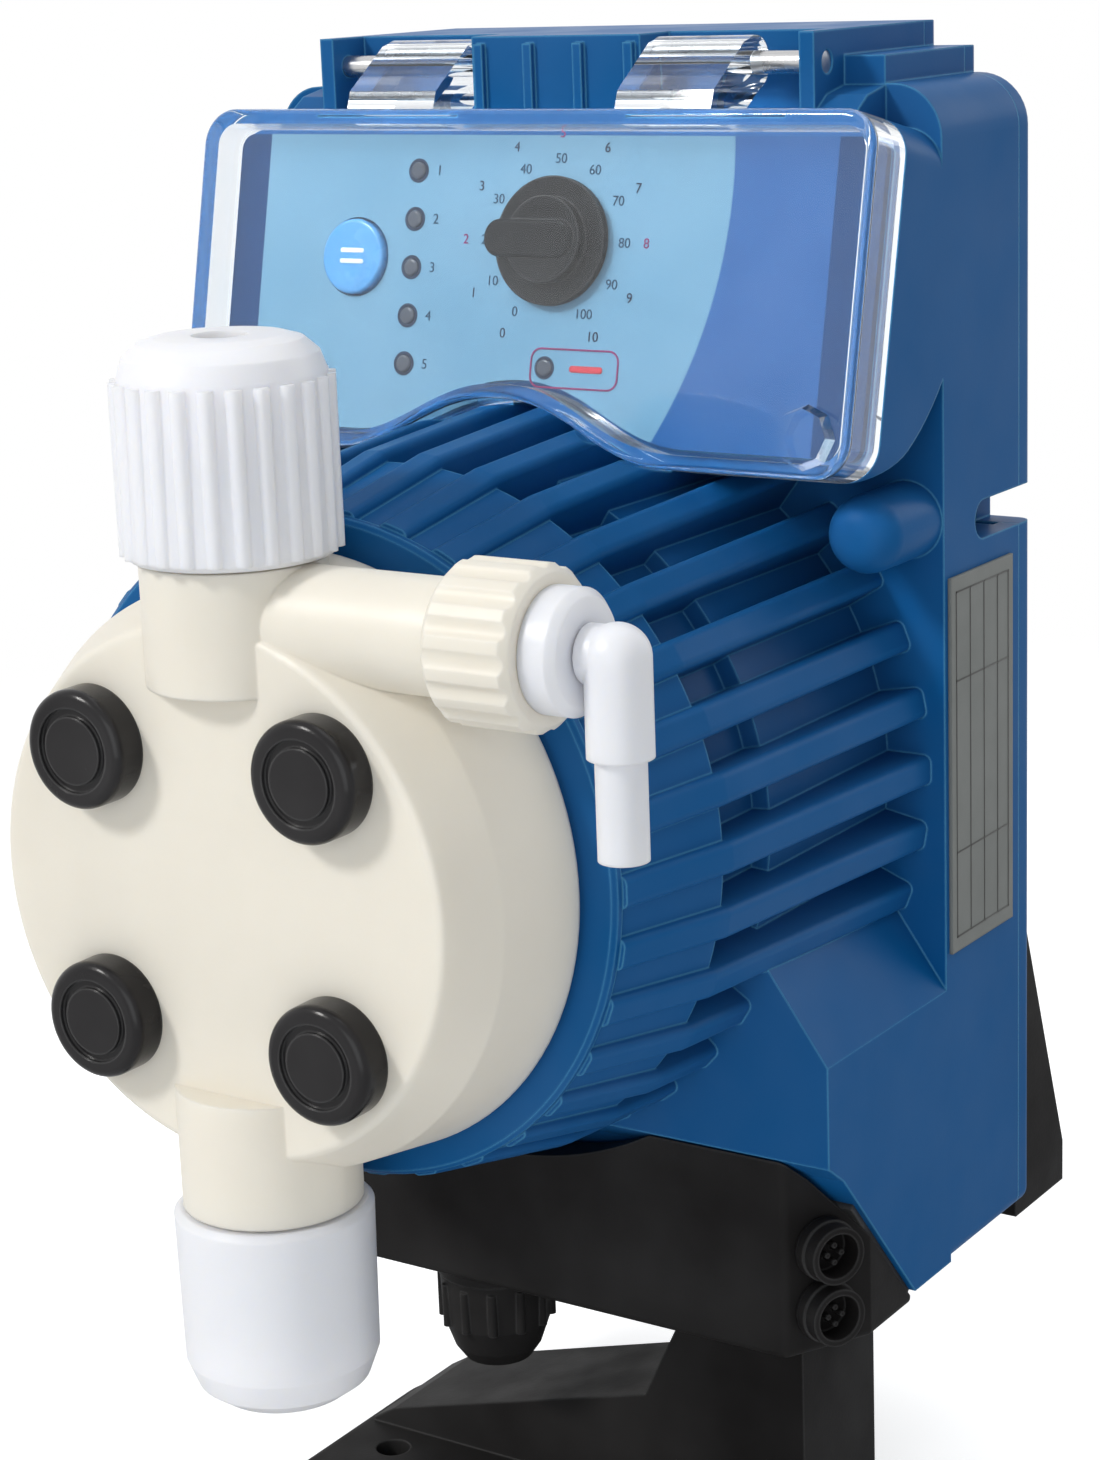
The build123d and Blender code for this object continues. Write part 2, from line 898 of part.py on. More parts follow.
with BuildPart() as rear_cover:
    extrude(body_outline(casing_back), amount=-back_thickness)
    fillet(rear_cover.faces().sort_by(Axis.Y)[-1].edges(), back_round)
    for side in (-1, 1):
        extrude(slot_shape(side), amount=-side * slot_depth, mode=Mode.SUBTRACT)
    extrude(
        circles(across(power_post_front), power_posts, boss_radius),
        amount=-(casing_back - power_post_front),
    )
    extrude(
        circles(across(power_post_front), power_posts, m3_radius),
        amount=-m3_length,
        mode=Mode.SUBTRACT,
    )
    extrude(
        circles(across(casing_back), back_screws, m3_radius + loose_fit),
        amount=-back_thickness,
        mode=Mode.SUBTRACT,
    )
    extrude(
        circles(across(back_seat_y), back_screws, m3_head_radius + loose_fit),
        amount=-back_thickness,
        mode=Mode.SUBTRACT,
    )
write(rear_cover, "rear_cover")

with BuildPart() as casing_seal:
    extrude(body_outline(casing_back, wall), amount=seal_height)
    extrude(body_outline(casing_back, wall + seal_width), amount=seal_height, mode=Mode.SUBTRACT)
    for side in (-1, 1):
        extrude(slot_wall(side, casing_back, 0), amount=seal_height)
        extrude(slot_wall(side, casing_back, seal_width), amount=seal_height, mode=Mode.SUBTRACT)
write(casing_seal, "casing_seal")

with BuildPart() as casing_screws:
    for x, z in back_screws:
        add(
            screw(
                plane_at(x, back_seat_y, z, (0, 1, 0)),
                m3_radius,
                m3_length,
                m3_head_radius,
                m3_head_height,
            ),
        )
write(casing_screws, "casing_screws")

# ---------------------------------------------------------------- clear cover

# Side view of a lug, as (y, z) points: it starts on the cover's top wall and ends round the hinge pin
lug_outline = [(hinge_y + y, hinge_z + z) for y, z in lug_profile]
rim_depth = cover_depth - cover_gap
boss_places = [(x, cover_low + cover_boss_radius + 0.6) for x in (-cover_boss_x, cover_boss_x)]

with BuildPart() as clear_cover:
    extrude(cover_outline(panel_plane), amount=-rim_depth)
    fillet(
        clear_cover.faces().sort_by(Axis(panel_plane.origin, panel_plane.z_dir))[-1].edges(),
        cover_wall / 2,
    )
    extrude(
        cover_outline(panel_plane.offset(-cover_wall), cover_wall),
        amount=-rim_depth,
        mode=Mode.SUBTRACT,
    )
    # Corner bosses
    with BuildSketch(panel_plane.offset(-cover_wall / 2)):
        with Locations(*boss_places):
            RegularPolygon(cover_boss_radius, 8)
    extrude(amount=cover_wall / 2 + cover_boss_height, taper=20)
    # Lugs and their bores
    for side in (-1, 1):
        lug_plane = Plane.YZ.offset(side * lug_inner)
        extrude(closed(lug_plane, lug_outline), amount=side * (lug_outer - lug_inner))
        extrude(disc(lug_plane, lug_radius, hinge_y, hinge_z), amount=side * (lug_outer - lug_inner))
        extrude(
            disc(lug_plane, hinge_pin_radius + running_fit, hinge_y, hinge_z),
            amount=side * (lug_outer - lug_inner),
            mode=Mode.SUBTRACT,
        )
write(clear_cover, "clear_cover")

with BuildPart() as hinge_pins:
    for side in (-1, 1):
        pin_plane = Plane.YZ.offset(side * (hood_half - loose_fit))
        extrude(
            disc(pin_plane, hinge_pin_radius, hinge_y, hinge_z),
            amount=-side * (hood_half - pocket_inner + hinge_pin_seat - 2 * loose_fit),
        )
write(hinge_pins, "hinge_pins")

# ---------------------------------------------------------------- controls

panel_front_plane = panel_plane.offset(-panel_inset)
knob_plane = panel_plane.offset(loose_fit - panel_inset)
board_plane = panel_plane.offset(-board_front)
board_back_plane = panel_plane.offset(-board_front - board_thickness)
shaft_end = board_front + board_thickness + pot_depth - shaft_short

with BuildPart() as control_panel:
    extrude(
        cover_outline(panel_plane.offset(-panel_floor), cover_wall + panel_margin),
        amount=panel_thickness,
    )
    extrude(
        disc(panel_front_plane, pot_shaft_radius + loose_fit, knob_x, knob_s),
        amount=-panel_thickness,
        mode=Mode.SUBTRACT,
    )
    extrude(
        disc(panel_front_plane, button_radius + button_panel_gap, button_x, button_s),
        amount=-panel_thickness,
        mode=Mode.SUBTRACT,
    )
    extrude(circles(panel_front_plane, led_places, led_radius), amount=-panel_thickness, mode=Mode.SUBTRACT)
write(control_panel, "control_panel")

with BuildPart() as rate_knob:
    extrude(disc(knob_plane, knob_radius, knob_x, knob_s), amount=knob_skirt)
    extrude(
        disc(knob_plane.offset(knob_skirt), knob_hub_radius, knob_x, knob_s),
        amount=knob_height - knob_skirt - knob_hub_drop,
    )
    with BuildSketch(knob_plane.offset(knob_skirt)):
        with Locations((knob_x - knob_pointer / 2 + knob_grip_width / 2, knob_s)):
            RectangleRounded(
                knob_pointer + knob_grip_width,
                knob_grip_width,
                knob_grip_width / 2 - small_gap,
            )
    extrude(amount=knob_height - knob_skirt)
    fillet(rate_knob.faces().sort_by(Axis(knob_plane.origin, knob_plane.z_dir))[-1].edges(), knob_edge)
    extrude(disc(knob_plane, pot_shaft_radius, knob_x, knob_s), amount=knob_bore, mode=Mode.SUBTRACT)
write(rate_knob, "rate_knob")

with BuildPart() as pot_shaft:
    extrude(
        disc(knob_plane.offset(knob_bore), pot_shaft_radius, knob_x, knob_s),
        amount=-(shaft_end - panel_inset + loose_fit + knob_bore),
    )
write(pot_shaft, "pot_shaft")

with BuildPart() as potentiometer:
    extrude(
        panel_box(
            pot_width / 2,
            knob_s - pot_width / 2,
            knob_s + pot_width / 2,
            board_front + board_thickness,
        ),
        amount=-pot_depth,
    )
    extrude(
        disc(board_back_plane, pot_bush_radius, knob_x, knob_s),
        amount=board_front + board_thickness - panel_floor,
    )
    extrude(
        disc(panel_plane.offset(-panel_floor), pot_shaft_radius + running_fit, knob_x, knob_s),
        amount=-(shaft_end - panel_floor + loose_fit),
        mode=Mode.SUBTRACT,
    )
write(potentiometer, "potentiometer")

button_flange_depth = cover_depth + wall + running_fit
button_back_depth = button_flange_depth + button_flange

with BuildPart() as panel_button:
    extrude(
        disc(panel_plane.offset(button_proud - panel_inset), button_radius, button_x, button_s),
        amount=-(button_back_depth + button_proud - panel_inset),
    )
    fillet(panel_button.faces().sort_by(Axis(panel_plane.origin, panel_plane.z_dir))[-1].edges(), knob_edge)
    extrude(
        disc(panel_plane.offset(-button_flange_depth), button_flange_radius, button_x, button_s),
        amount=-button_flange,
    )
write(panel_button, "panel_button")

with BuildPart() as button_switch:
    extrude(
        panel_box(
            switch_width / 2,
            button_s - switch_width / 2,
            button_s + switch_width / 2,
            board_front,
            button_x,
        ),
        amount=board_front - button_back_depth - button_travel - running_fit,
    )
write(button_switch, "button_switch")

with BuildPart() as indicator_lights:
    for x, s in led_places:
        extrude(disc(board_plane, led_radius, x, s), amount=board_front - panel_inset + led_proud)
    light_ends = indicator_lights.faces().filter_by(
        lambda f: panel_plane.to_local_coords(f.center()).Z > -panel_inset,
    )
    fillet(light_ends.filter_by(GeomType.PLANE).edges(), led_proud)
write(indicator_lights, "indicator_lights")

with BuildPart() as circuit_board:
    extrude(panel_box(board_width / 2, board_low_s, board_high_s, board_front, 0), amount=-board_thickness)
    extrude(
        panel_box(bay_half - bay_gap, bay_low + bay_gap, board_low_s + 1, board_front, bay_x),
        amount=-board_thickness,
    )
    extrude(
        disc(board_plane, pot_bush_radius + loose_fit, knob_x, knob_s),
        amount=-board_thickness,
        mode=Mode.SUBTRACT,
    )
    extrude(
        circles(board_plane, board_posts, m3_radius + loose_fit),
        amount=-board_thickness,
        mode=Mode.SUBTRACT,
    )
write(circuit_board, "circuit_board")


# ---------------------------------------------------------------- power supply in the casing

with BuildPart() as power_board:
    with BuildSketch(across(power_board_y)):
        with Locations((0, (power_board_low + power_board_high) / 2)):
            Rectangle(2 * power_board_half, power_board_high - power_board_low)
    extrude(amount=-board_thickness)
    extrude(
        circles(across(power_board_y), power_posts, m3_radius + loose_fit),
        amount=-board_thickness,
        mode=Mode.SUBTRACT,
    )
write(power_board, "power_board")

with BuildPart() as board_screws:
    for x, s in board_posts:
        seat = panel_plane.from_local_coords(Vector(x, s, -board_front - board_thickness))
        add(
            screw(
                plane_at(seat.X, seat.Y, seat.Z, -panel_plane.z_dir),
                m3_radius,
                board_thickness + post_length - board_screw_short,
                m3_head_radius - board_screw_head_trim,
                m3_head_height,
            ),
        )
    for x, z in power_posts:
        add(
            screw(
                plane_at(x, power_board_y, z, (0, -1, 0)),
                m3_radius,
                board_thickness + post_length - board_screw_short,
                m3_head_radius - board_screw_head_trim,
                m3_head_height,
            ),
        )
write(board_screws, "board_screws")

with BuildPart() as transformer:
    with BuildSketch(across(power_board_y)):
        with Locations((transformer_x, transformer_z)):
            Rectangle(transformer_width, transformer_height)
    extrude(amount=transformer_depth)
    chamfer(transformer.edges().filter_by(Axis.Y), transformer_edge)
write(transformer, "transformer")

with BuildPart() as capacitors:
    for z in (transformer_z - transformer_stack, transformer_z + transformer_stack):
        extrude(disc(across(power_board_y), capacitor_radius, capacitor_x, z), amount=capacitor_length)
    fillet(capacitors.faces().filter_by(Axis.Y).sort_by(Axis.Y)[:2].edges(), capacitor_edge)
write(capacitors, "capacitors")

# ---------------------------------------------------------------- terminal cover and its connections

terminal_plan_back = terminal_back_y + terminal_wall
gasket_plane = Plane(
    origin=(0, (terminal_side_y + terminal_back_y) / 2, (terminal_side_z + body_bottom) / 2),
    x_dir=(1, 0, 0),
    z_dir=(0, body_bottom - terminal_side_z, terminal_side_y - terminal_back_y),
)
gasket_drop = gasket_plane.z_dir * gasket_thickness
hollow_top = terminal_side_z - 3 * terminal_wall
terminal_side = [
    (lower_front, terminal_bottom),
    (lower_front, terminal_top - loose_fit),
    (terminal_side_y + gasket_drop.Y, terminal_side_z + gasket_drop.Z),
    (terminal_back_y + gasket_drop.Y, body_bottom + gasket_drop.Z),
    (terminal_back_y + gasket_drop.Y, terminal_bottom),
]
chamfer_slope = (terminal_half - terminal_front_half) / (terminal_chamfer_y - lower_front)
connector_x = terminal_front_half + (connector_y - lower_front) * chamfer_slope
connector_planes = [
    plane_at(connector_x, connector_y, z, (1, -chamfer_slope, 0))
    for z in (connector_z - connector_pitch / 2, connector_z + connector_pitch / 2)
]


def terminal_plan(z, inset):
    """Plan of the terminal cover, with its front corners cut off."""
    with BuildSketch(Plane.XY.offset(z)) as shape:
        with BuildLine():
            Polyline(
                (-terminal_half, terminal_plan_back),
                (-terminal_half, terminal_chamfer_y),
                (-terminal_front_half, lower_front),
                (terminal_front_half, lower_front),
                (terminal_half, terminal_chamfer_y),
                (terminal_half, terminal_plan_back),
                close=True,
            )
        make_face()
        if inset > 0:
            offset(amount=-inset, kind=Kind.INTERSECTION, mode=Mode.REPLACE)
    return shape.sketch


with BuildPart() as terminal_hollow:
    extrude(terminal_plan(terminal_bottom + terminal_wall, terminal_wall), amount=body_bottom)
    extrude(
        closed(
            Plane.YZ.offset(-body_half),
            [
                (lower_front, terminal_bottom),
                (terminal_plan_back, terminal_bottom),
                (terminal_plan_back, hollow_top),
                (lower_front, hollow_top),
            ],
        ),
        amount=body_width,
        mode=Mode.INTERSECT,
    )

with BuildPart() as terminal_cover:
    extrude(terminal_plan(terminal_bottom, 0), amount=terminal_top - loose_fit - terminal_bottom)
    fillet(terminal_cover.edges().filter_by(Axis.Z).sort_by(Axis.Y)[:2], terminal_corner)
    fillet(terminal_cover.faces().sort_by(Axis.Z)[0].edges(), terminal_edge)
    # The sloping edge that meets the gasket
    extrude(closed(Plane.YZ.offset(-body_half), terminal_side), amount=body_width, mode=Mode.INTERSECT)
    add(terminal_hollow.part, mode=Mode.SUBTRACT)
    extrude(
        disc(across(lower_front - 1), fin_back_radius + terminal_clearance, 0, axis_z),
        amount=-body_width,
        mode=Mode.SUBTRACT,
    )
    # Screw bosses, gland hole and connector holes
    boss_plane = Plane.XY.offset(terminal_boss_low)
    extrude(
        circles(boss_plane, terminal_screws, boss_radius),
        amount=terminal_bottom + terminal_wall - terminal_boss_low,
    )
    extrude(
        circles(boss_plane, terminal_screws, m3_radius + loose_fit),
        amount=-body_bottom,
        mode=Mode.SUBTRACT,
    )
    extrude(
        circles(Plane.XY.offset(terminal_bottom - 1), terminal_screws, m3_head_radius + loose_fit),
        amount=1 + m3_head_height,
        mode=Mode.SUBTRACT,
    )
    extrude(
        disc(Plane.XY.offset(terminal_bottom), gland_tube_radius, gland_x, gland_y),
        amount=terminal_wall,
        mode=Mode.SUBTRACT,
    )
    for plane in connector_planes:
        extrude(disc(plane, connector_shank), amount=-2 * terminal_wall, mode=Mode.SUBTRACT)
write(terminal_cover, "terminal_cover")

with BuildPart() as terminal_gasket:
    with BuildSketch(gasket_plane):
        low = (body_bottom - gasket_plane.origin.Z) / gasket_plane.y_dir.Z
        high = (hollow_top + gasket_width - gasket_plane.origin.Z) / gasket_plane.y_dir.Z
        with Locations((0, (low + high) / 2)):
            Rectangle(2 * (terminal_half - gasket_inset), high - low)
            Rectangle(
                2 * (terminal_half - gasket_inset - gasket_width),
                high - low - 2 * gasket_width,
                mode=Mode.SUBTRACT,
            )
    extrude(amount=gasket_thickness)
write(terminal_gasket, "terminal_gasket")

with BuildPart() as terminal_screws_fitted:
    for x, y in terminal_screws:
        seat = plane_at(x, y, terminal_bottom + m3_head_height, (0, 0, -1))
        add(screw(seat, m3_radius, terminal_screw_length, m3_head_radius, m3_head_height - small_gap))
write(terminal_screws_fitted, "terminal_screws")

with BuildPart() as signal_connectors:
    for plane in connector_planes:
        extrude(disc(plane, connector_radius), amount=connector_length)
        extrude(disc(plane, connector_shank), amount=-1.5 * terminal_wall)
        extrude(
            ring(
                plane.offset(connector_length / 2),
                connector_radius + connector_ring,
                connector_radius - connector_ring,
            ),
            amount=-connector_ring_width,
        )
        socket = plane.offset(connector_length)
        extrude(
            disc(socket, connector_radius - socket_wall),
            amount=-connector_length + socket_floor,
            mode=Mode.SUBTRACT,
        )
        extrude(
            circles(plane.offset(socket_floor), connector_pins, connector_pin_radius),
            amount=connector_length - 2 * socket_floor,
        )
write(signal_connectors, "signal_connectors")


def about_gland_axis(points):
    """Half section of a piece turned about the gland's upright axis, as (z, radius) points."""
    return closed(Plane.XZ.offset(-gland_y), [(gland_x + r, z) for z, r in points])


gland_axis = Axis((gland_x, gland_y, 0), (0, 0, 1))
gland_nut_top = terminal_bottom - gland_collar
gland_nut_low = gland_nut_top - gland_nut_length

with BuildPart() as gland_body:
    revolve(
        about_gland_axis(
            [
                (gland_tube_low, gland_tube_bore),
                (gland_tube_low, gland_tube_radius),
                (gland_nut_top, gland_tube_radius),
                (gland_nut_top, gland_radius),
                (terminal_bottom, gland_radius),
                (terminal_bottom, gland_tube_radius),
                (gland_tube_top, gland_tube_radius),
                (gland_tube_top, gland_tube_bore),
            ]
        ),
        axis=gland_axis,
    )
write(gland_body, "gland_body")

with BuildPart() as gland_nut:
    revolve(
        about_gland_axis(
            [
                (gland_nut_top, gland_tube_radius),
                (gland_nut_top, gland_radius - gland_nut_step),
                *[(gland_nut_low + rise, gland_radius - inset) for rise, inset in gland_shoulder],
                (gland_nut_low, gland_end_hole + gland_end_land),
                (gland_nut_low, gland_end_hole),
                (gland_seal_low, gland_end_hole),
                (gland_seal_low, gland_seal_radius),
                (gland_tube_low - loose_fit, gland_seal_radius),
                (gland_tube_low - loose_fit, gland_tube_radius),
            ]
        ),
        axis=gland_axis,
    )
    # Grip ribs
    with BuildSketch(Plane.XY.offset(gland_nut_low + gland_rib_low)):
        with Locations((gland_x, gland_y)):
            with PolarLocations(gland_radius - gland_nut_step - loose_fit, gland_rib_count):
                Circle(gland_rib_radius)
    extrude(amount=gland_nut_length - gland_rib_short)
write(gland_nut, "gland_nut")

with BuildPart() as gland_seal:
    extrude(
        ring(Plane.XY.offset(gland_seal_low), gland_seal_radius, cable_radius, gland_x, gland_y),
        amount=gland_tube_low - loose_fit - gland_seal_low,
    )
write(gland_seal, "gland_seal")

with BuildPart() as gland_locknut:
    with BuildSketch(Plane.XY.offset(terminal_bottom + terminal_wall)):
        with Locations((gland_x, gland_y)):
            RegularPolygon(gland_locknut_radius, 6)
            Circle(gland_tube_radius, mode=Mode.SUBTRACT)
    extrude(amount=gland_locknut_height)
write(gland_locknut, "gland_locknut")

# ---------------------------------------------------------------- foot

bracket_screw_seat = body_bottom - rail_thickness

with BuildPart() as mounting_bracket:
    # Base plate
    with BuildSketch():
        with Locations((0, (foot_front + foot_back) / 2)):
            RectangleRounded(2 * foot_half, foot_back - foot_front, foot_round)
    extrude(amount=foot_thickness)
    fillet(mounting_bracket.faces().sort_by(Axis.Z)[-1].edges(), foot_edge)
    # Column and sloping arm
    extrude(
        closed(
            across(column_front),
            [
                (column_left, foot_thickness - 1),
                (column_left, arm_root_z),
                (column_top_left, bracket_screw_seat),
                (column_top_left, body_bottom),
                (column_right, body_bottom),
                (column_right, foot_thickness - 1),
            ],
        ),
        amount=-(foot_back - column_front),
    )
    extrude(
        closed(
            across(column_front),
            [
                (arm_tip, foot_thickness - 1),
                (arm_tip, arm_tip_z),
                (arm_end, arm_end_z),
                (column_left, arm_root_z),
                (column_left + 1, arm_root_z),
                (column_left + 1, foot_thickness - 1),
            ],
        ),
        amount=-(foot_back - column_front),
    )
    # Clearance under the terminal cover
    extrude(
        closed(
            Plane.YZ.offset(-body_half),
            [
                (column_front - 1, bracket_screw_seat),
                (rail_front, bracket_screw_seat),
                (rail_front, body_bottom + 1),
                (column_front - 1, body_bottom + 1),
            ],
        ),
        amount=body_width,
        mode=Mode.SUBTRACT,
    )
    # Rail under the casing
    with BuildSketch(Plane.XY.offset(bracket_screw_seat)):
        with Locations((0, (rail_front + wedge_back) / 2)):
            Rectangle(2 * rail_half, wedge_back - rail_front)
    extrude(amount=rail_thickness)
    # Hollow wedge behind the casing
    extrude(closed(Plane.YZ.offset(-wedge_half), wedge_side), amount=2 * wedge_half)
    for low, high in ((-wedge_half, -rail_half), (-rail_half, rail_half), (rail_half, wedge_half)):
        extrude(
            closed(Plane.YZ.offset(low + wedge_web / 2), wedge_hollow),
            amount=high - low - wedge_web,
            mode=Mode.SUBTRACT,
        )
    # Holes
    with BuildSketch():
        with GridLocations(foot_hole_x, foot_hole_y, 2, 2):
            Circle(foot_hole_radius)
    extrude(amount=foot_thickness, mode=Mode.SUBTRACT)
    extrude(
        circles(Plane.XY.offset(bracket_screw_seat), bracket_screws, m4_radius + loose_fit),
        amount=rail_thickness,
        mode=Mode.SUBTRACT,
    )
write(mounting_bracket, "mounting_bracket")

with BuildPart() as bracket_screws_fitted:
    for x, y in bracket_screws:
        seat = plane_at(x, y, bracket_screw_seat, (0, 0, -1))
        add(screw(seat, m4_radius, bracket_screw_length, m4_head_radius, m4_head_height))
write(bracket_screws_fitted, "bracket_screws")

with BuildPart() as rating_plate:
    extrude(
        closed(
            Plane.YZ.offset(body_half),
            [
                (plate_front, plate_low),
                (plate_back, plate_low),
                (plate_back, plate_high),
                (plate_front, plate_high),
            ],
        ),
        amount=plate_sheet,
    )
write(rating_plate, "rating_plate")

# ---------------------------------------------------------------- solenoid

frame_floor_y = frame_back_y - frame_wall
bobbin_front = frame_front_y + loose_fit
bobbin_back = frame_floor_y - loose_fit

with BuildPart() as solenoid_plate:
    extrude(disc(across(plate_front_y), frame_radius, 0, axis_z), amount=-plate_thickness)
    extrude(
        disc(across(plate_front_y), rod_radius + bush_wall, 0, axis_z),
        amount=-plate_thickness,
        mode=Mode.SUBTRACT,
    )
    extrude(screw_circles(plate_front_y, screw_radius), amount=-plate_thickness, mode=Mode.SUBTRACT)
write(solenoid_plate, "solenoid_plate")

with BuildPart() as guide_bush:
    extrude(
        ring(across(plate_back_y), rod_radius + bush_wall, rod_radius + running_fit, 0, axis_z),
        amount=bush_length,
    )
write(guide_bush, "guide_bush")

with BuildPart() as pole_piece:
    extrude(
        ring(across(plate_back_y), pole_radius, rod_radius + loose_fit, 0, axis_z),
        amount=-(pole_end_y - plate_back_y),
    )
    extrude(
        disc(across(pole_end_y), spring_pocket_radius, 0, axis_z),
        amount=spring_pocket_depth,
        mode=Mode.SUBTRACT,
    )
write(pole_piece, "pole_piece")

with BuildPart() as plunger_sleeve:
    extrude(
        ring(across(pole_end_y), pole_radius, plunger_radius + running_fit, 0, axis_z),
        amount=-(frame_floor_y - pole_end_y),
    )
write(plunger_sleeve, "plunger_sleeve")

with BuildPart() as solenoid_frame:
    extrude(disc(across(frame_front_y), frame_radius, 0, axis_z), amount=-(frame_back_y - frame_front_y))
    extrude(
        disc(across(frame_front_y), frame_radius - frame_wall, 0, axis_z),
        amount=-(frame_floor_y - frame_front_y),
        mode=Mode.SUBTRACT,
    )
    extrude(disc(across(frame_floor_y), stop_radius, 0, axis_z), amount=-frame_wall, mode=Mode.SUBTRACT)
    fillet(solenoid_frame.faces().sort_by(Axis.Y)[-1].outer_wire().edges(), frame_edge)
write(solenoid_frame, "solenoid_frame")

with BuildPart() as coil_bobbin:
    extrude(
        ring(across(bobbin_front), pole_radius + bobbin_wall, pole_radius, 0, axis_z),
        amount=-(bobbin_back - bobbin_front),
    )
    extrude(
        ring(across(bobbin_front), coil_outer + bobbin_lip, pole_radius, 0, axis_z),
        amount=-bobbin_wall,
    )
    extrude(ring(across(bobbin_back), coil_outer + bobbin_lip, pole_radius, 0, axis_z), amount=bobbin_wall)
write(coil_bobbin, "coil_bobbin")

with BuildPart() as coil_winding:
    extrude(
        ring(across(bobbin_front + bobbin_wall), coil_outer, pole_radius + bobbin_wall, 0, axis_z),
        amount=-(bobbin_back - bobbin_front - 2 * bobbin_wall),
    )
write(coil_winding, "coil_winding")

with BuildPart() as stroke_stop:
    extrude(
        disc(across(plunger_back + running_fit), stop_radius, 0, axis_z),
        amount=-(frame_back_y + stop_proud - plunger_back),
    )
    with BuildSketch(across(frame_back_y + stop_proud - stop_slot_depth)):
        with Locations((0, axis_z)):
            Rectangle(2 * stop_radius, stop_slot_width)
    extrude(amount=-2 * stop_slot_depth, mode=Mode.SUBTRACT)
write(stroke_stop, "stroke_stop")

with BuildPart() as plunger:
    extrude(disc(across(plunger_front), plunger_radius, 0, axis_z), amount=-plunger_length)
    chamfer(plunger.edges(), plunger_edge)
    extrude(
        disc(across(plunger_front), rod_radius, 0, axis_z),
        amount=-(plunger_length - plunger_end_wall),
        mode=Mode.SUBTRACT,
    )
write(plunger, "plunger")

with BuildPart() as push_rod:
    extrude(
        disc(across(support_rear - support_thickness / 2), rod_radius, 0, axis_z),
        amount=-(plunger_back - plunger_end_wall - support_rear + support_thickness / 2),
    )
write(push_rod, "push_rod")

with BuildPart() as diaphragm_support:
    extrude(disc(across(support_rear), support_radius, 0, axis_z), amount=support_thickness)
    fillet(diaphragm_support.edges(), plunger_edge)
    extrude(
        disc(across(support_rear), rod_radius, 0, axis_z),
        amount=support_thickness / 2,
        mode=Mode.SUBTRACT,
    )
write(diaphragm_support, "diaphragm_support")

spring_length = plunger_front - pole_end_y + spring_pocket_depth - 2 * spring_wire
with BuildPart() as return_spring:
    with BuildLine() as coil:
        Helix(
            pitch=spring_length / spring_turns,
            height=spring_length,
            radius=spring_radius,
            center=(0, pole_end_y - spring_pocket_depth + spring_wire, axis_z),
            direction=(0, 1, 0),
        )
    with BuildSketch(Plane(origin=coil.line @ 0, z_dir=coil.line % 0)):
        Circle(spring_wire)
    sweep(path=coil.line)
write(return_spring, "return_spring")

with BuildPart() as diaphragm_flange:
    extrude(
        ring(across(flange_y), bore_radius, clamp_inner_radius, 0, axis_z),
        amount=flange_ring_thickness,
    )
    extrude(
        screw_circles(flange_y, screw_radius + screw_clearance),
        amount=flange_ring_thickness,
        mode=Mode.SUBTRACT,
    )
write(diaphragm_flange, "diaphragm_flange")

web_rear = head_rear - stack_fit
with BuildPart() as diaphragm:
    revolve(
        about_pump_axis(
            [
                (web_rear, 0),
                (web_rear, clamp_inner_radius),
                (head_rear, clamp_inner_radius + 0.4),
                (head_rear, diaphragm_radius),
                (head_rear - diaphragm_rim, diaphragm_radius),
                (head_rear - diaphragm_rim, clamp_inner_radius + 1),
                (web_rear - diaphragm_web, clamp_inner_radius),
                (web_rear - diaphragm_web, 0),
            ]
        ),
        axis=pump_axis,
    )
write(diaphragm, "diaphragm")

# ---------------------------------------------------------------- pump head

recess_depth = diaphragm_rim + small_gap
pocket_discharge = discharge_spigot_top - pocket_length
pocket_suction = suction_spigot_bottom + pocket_length

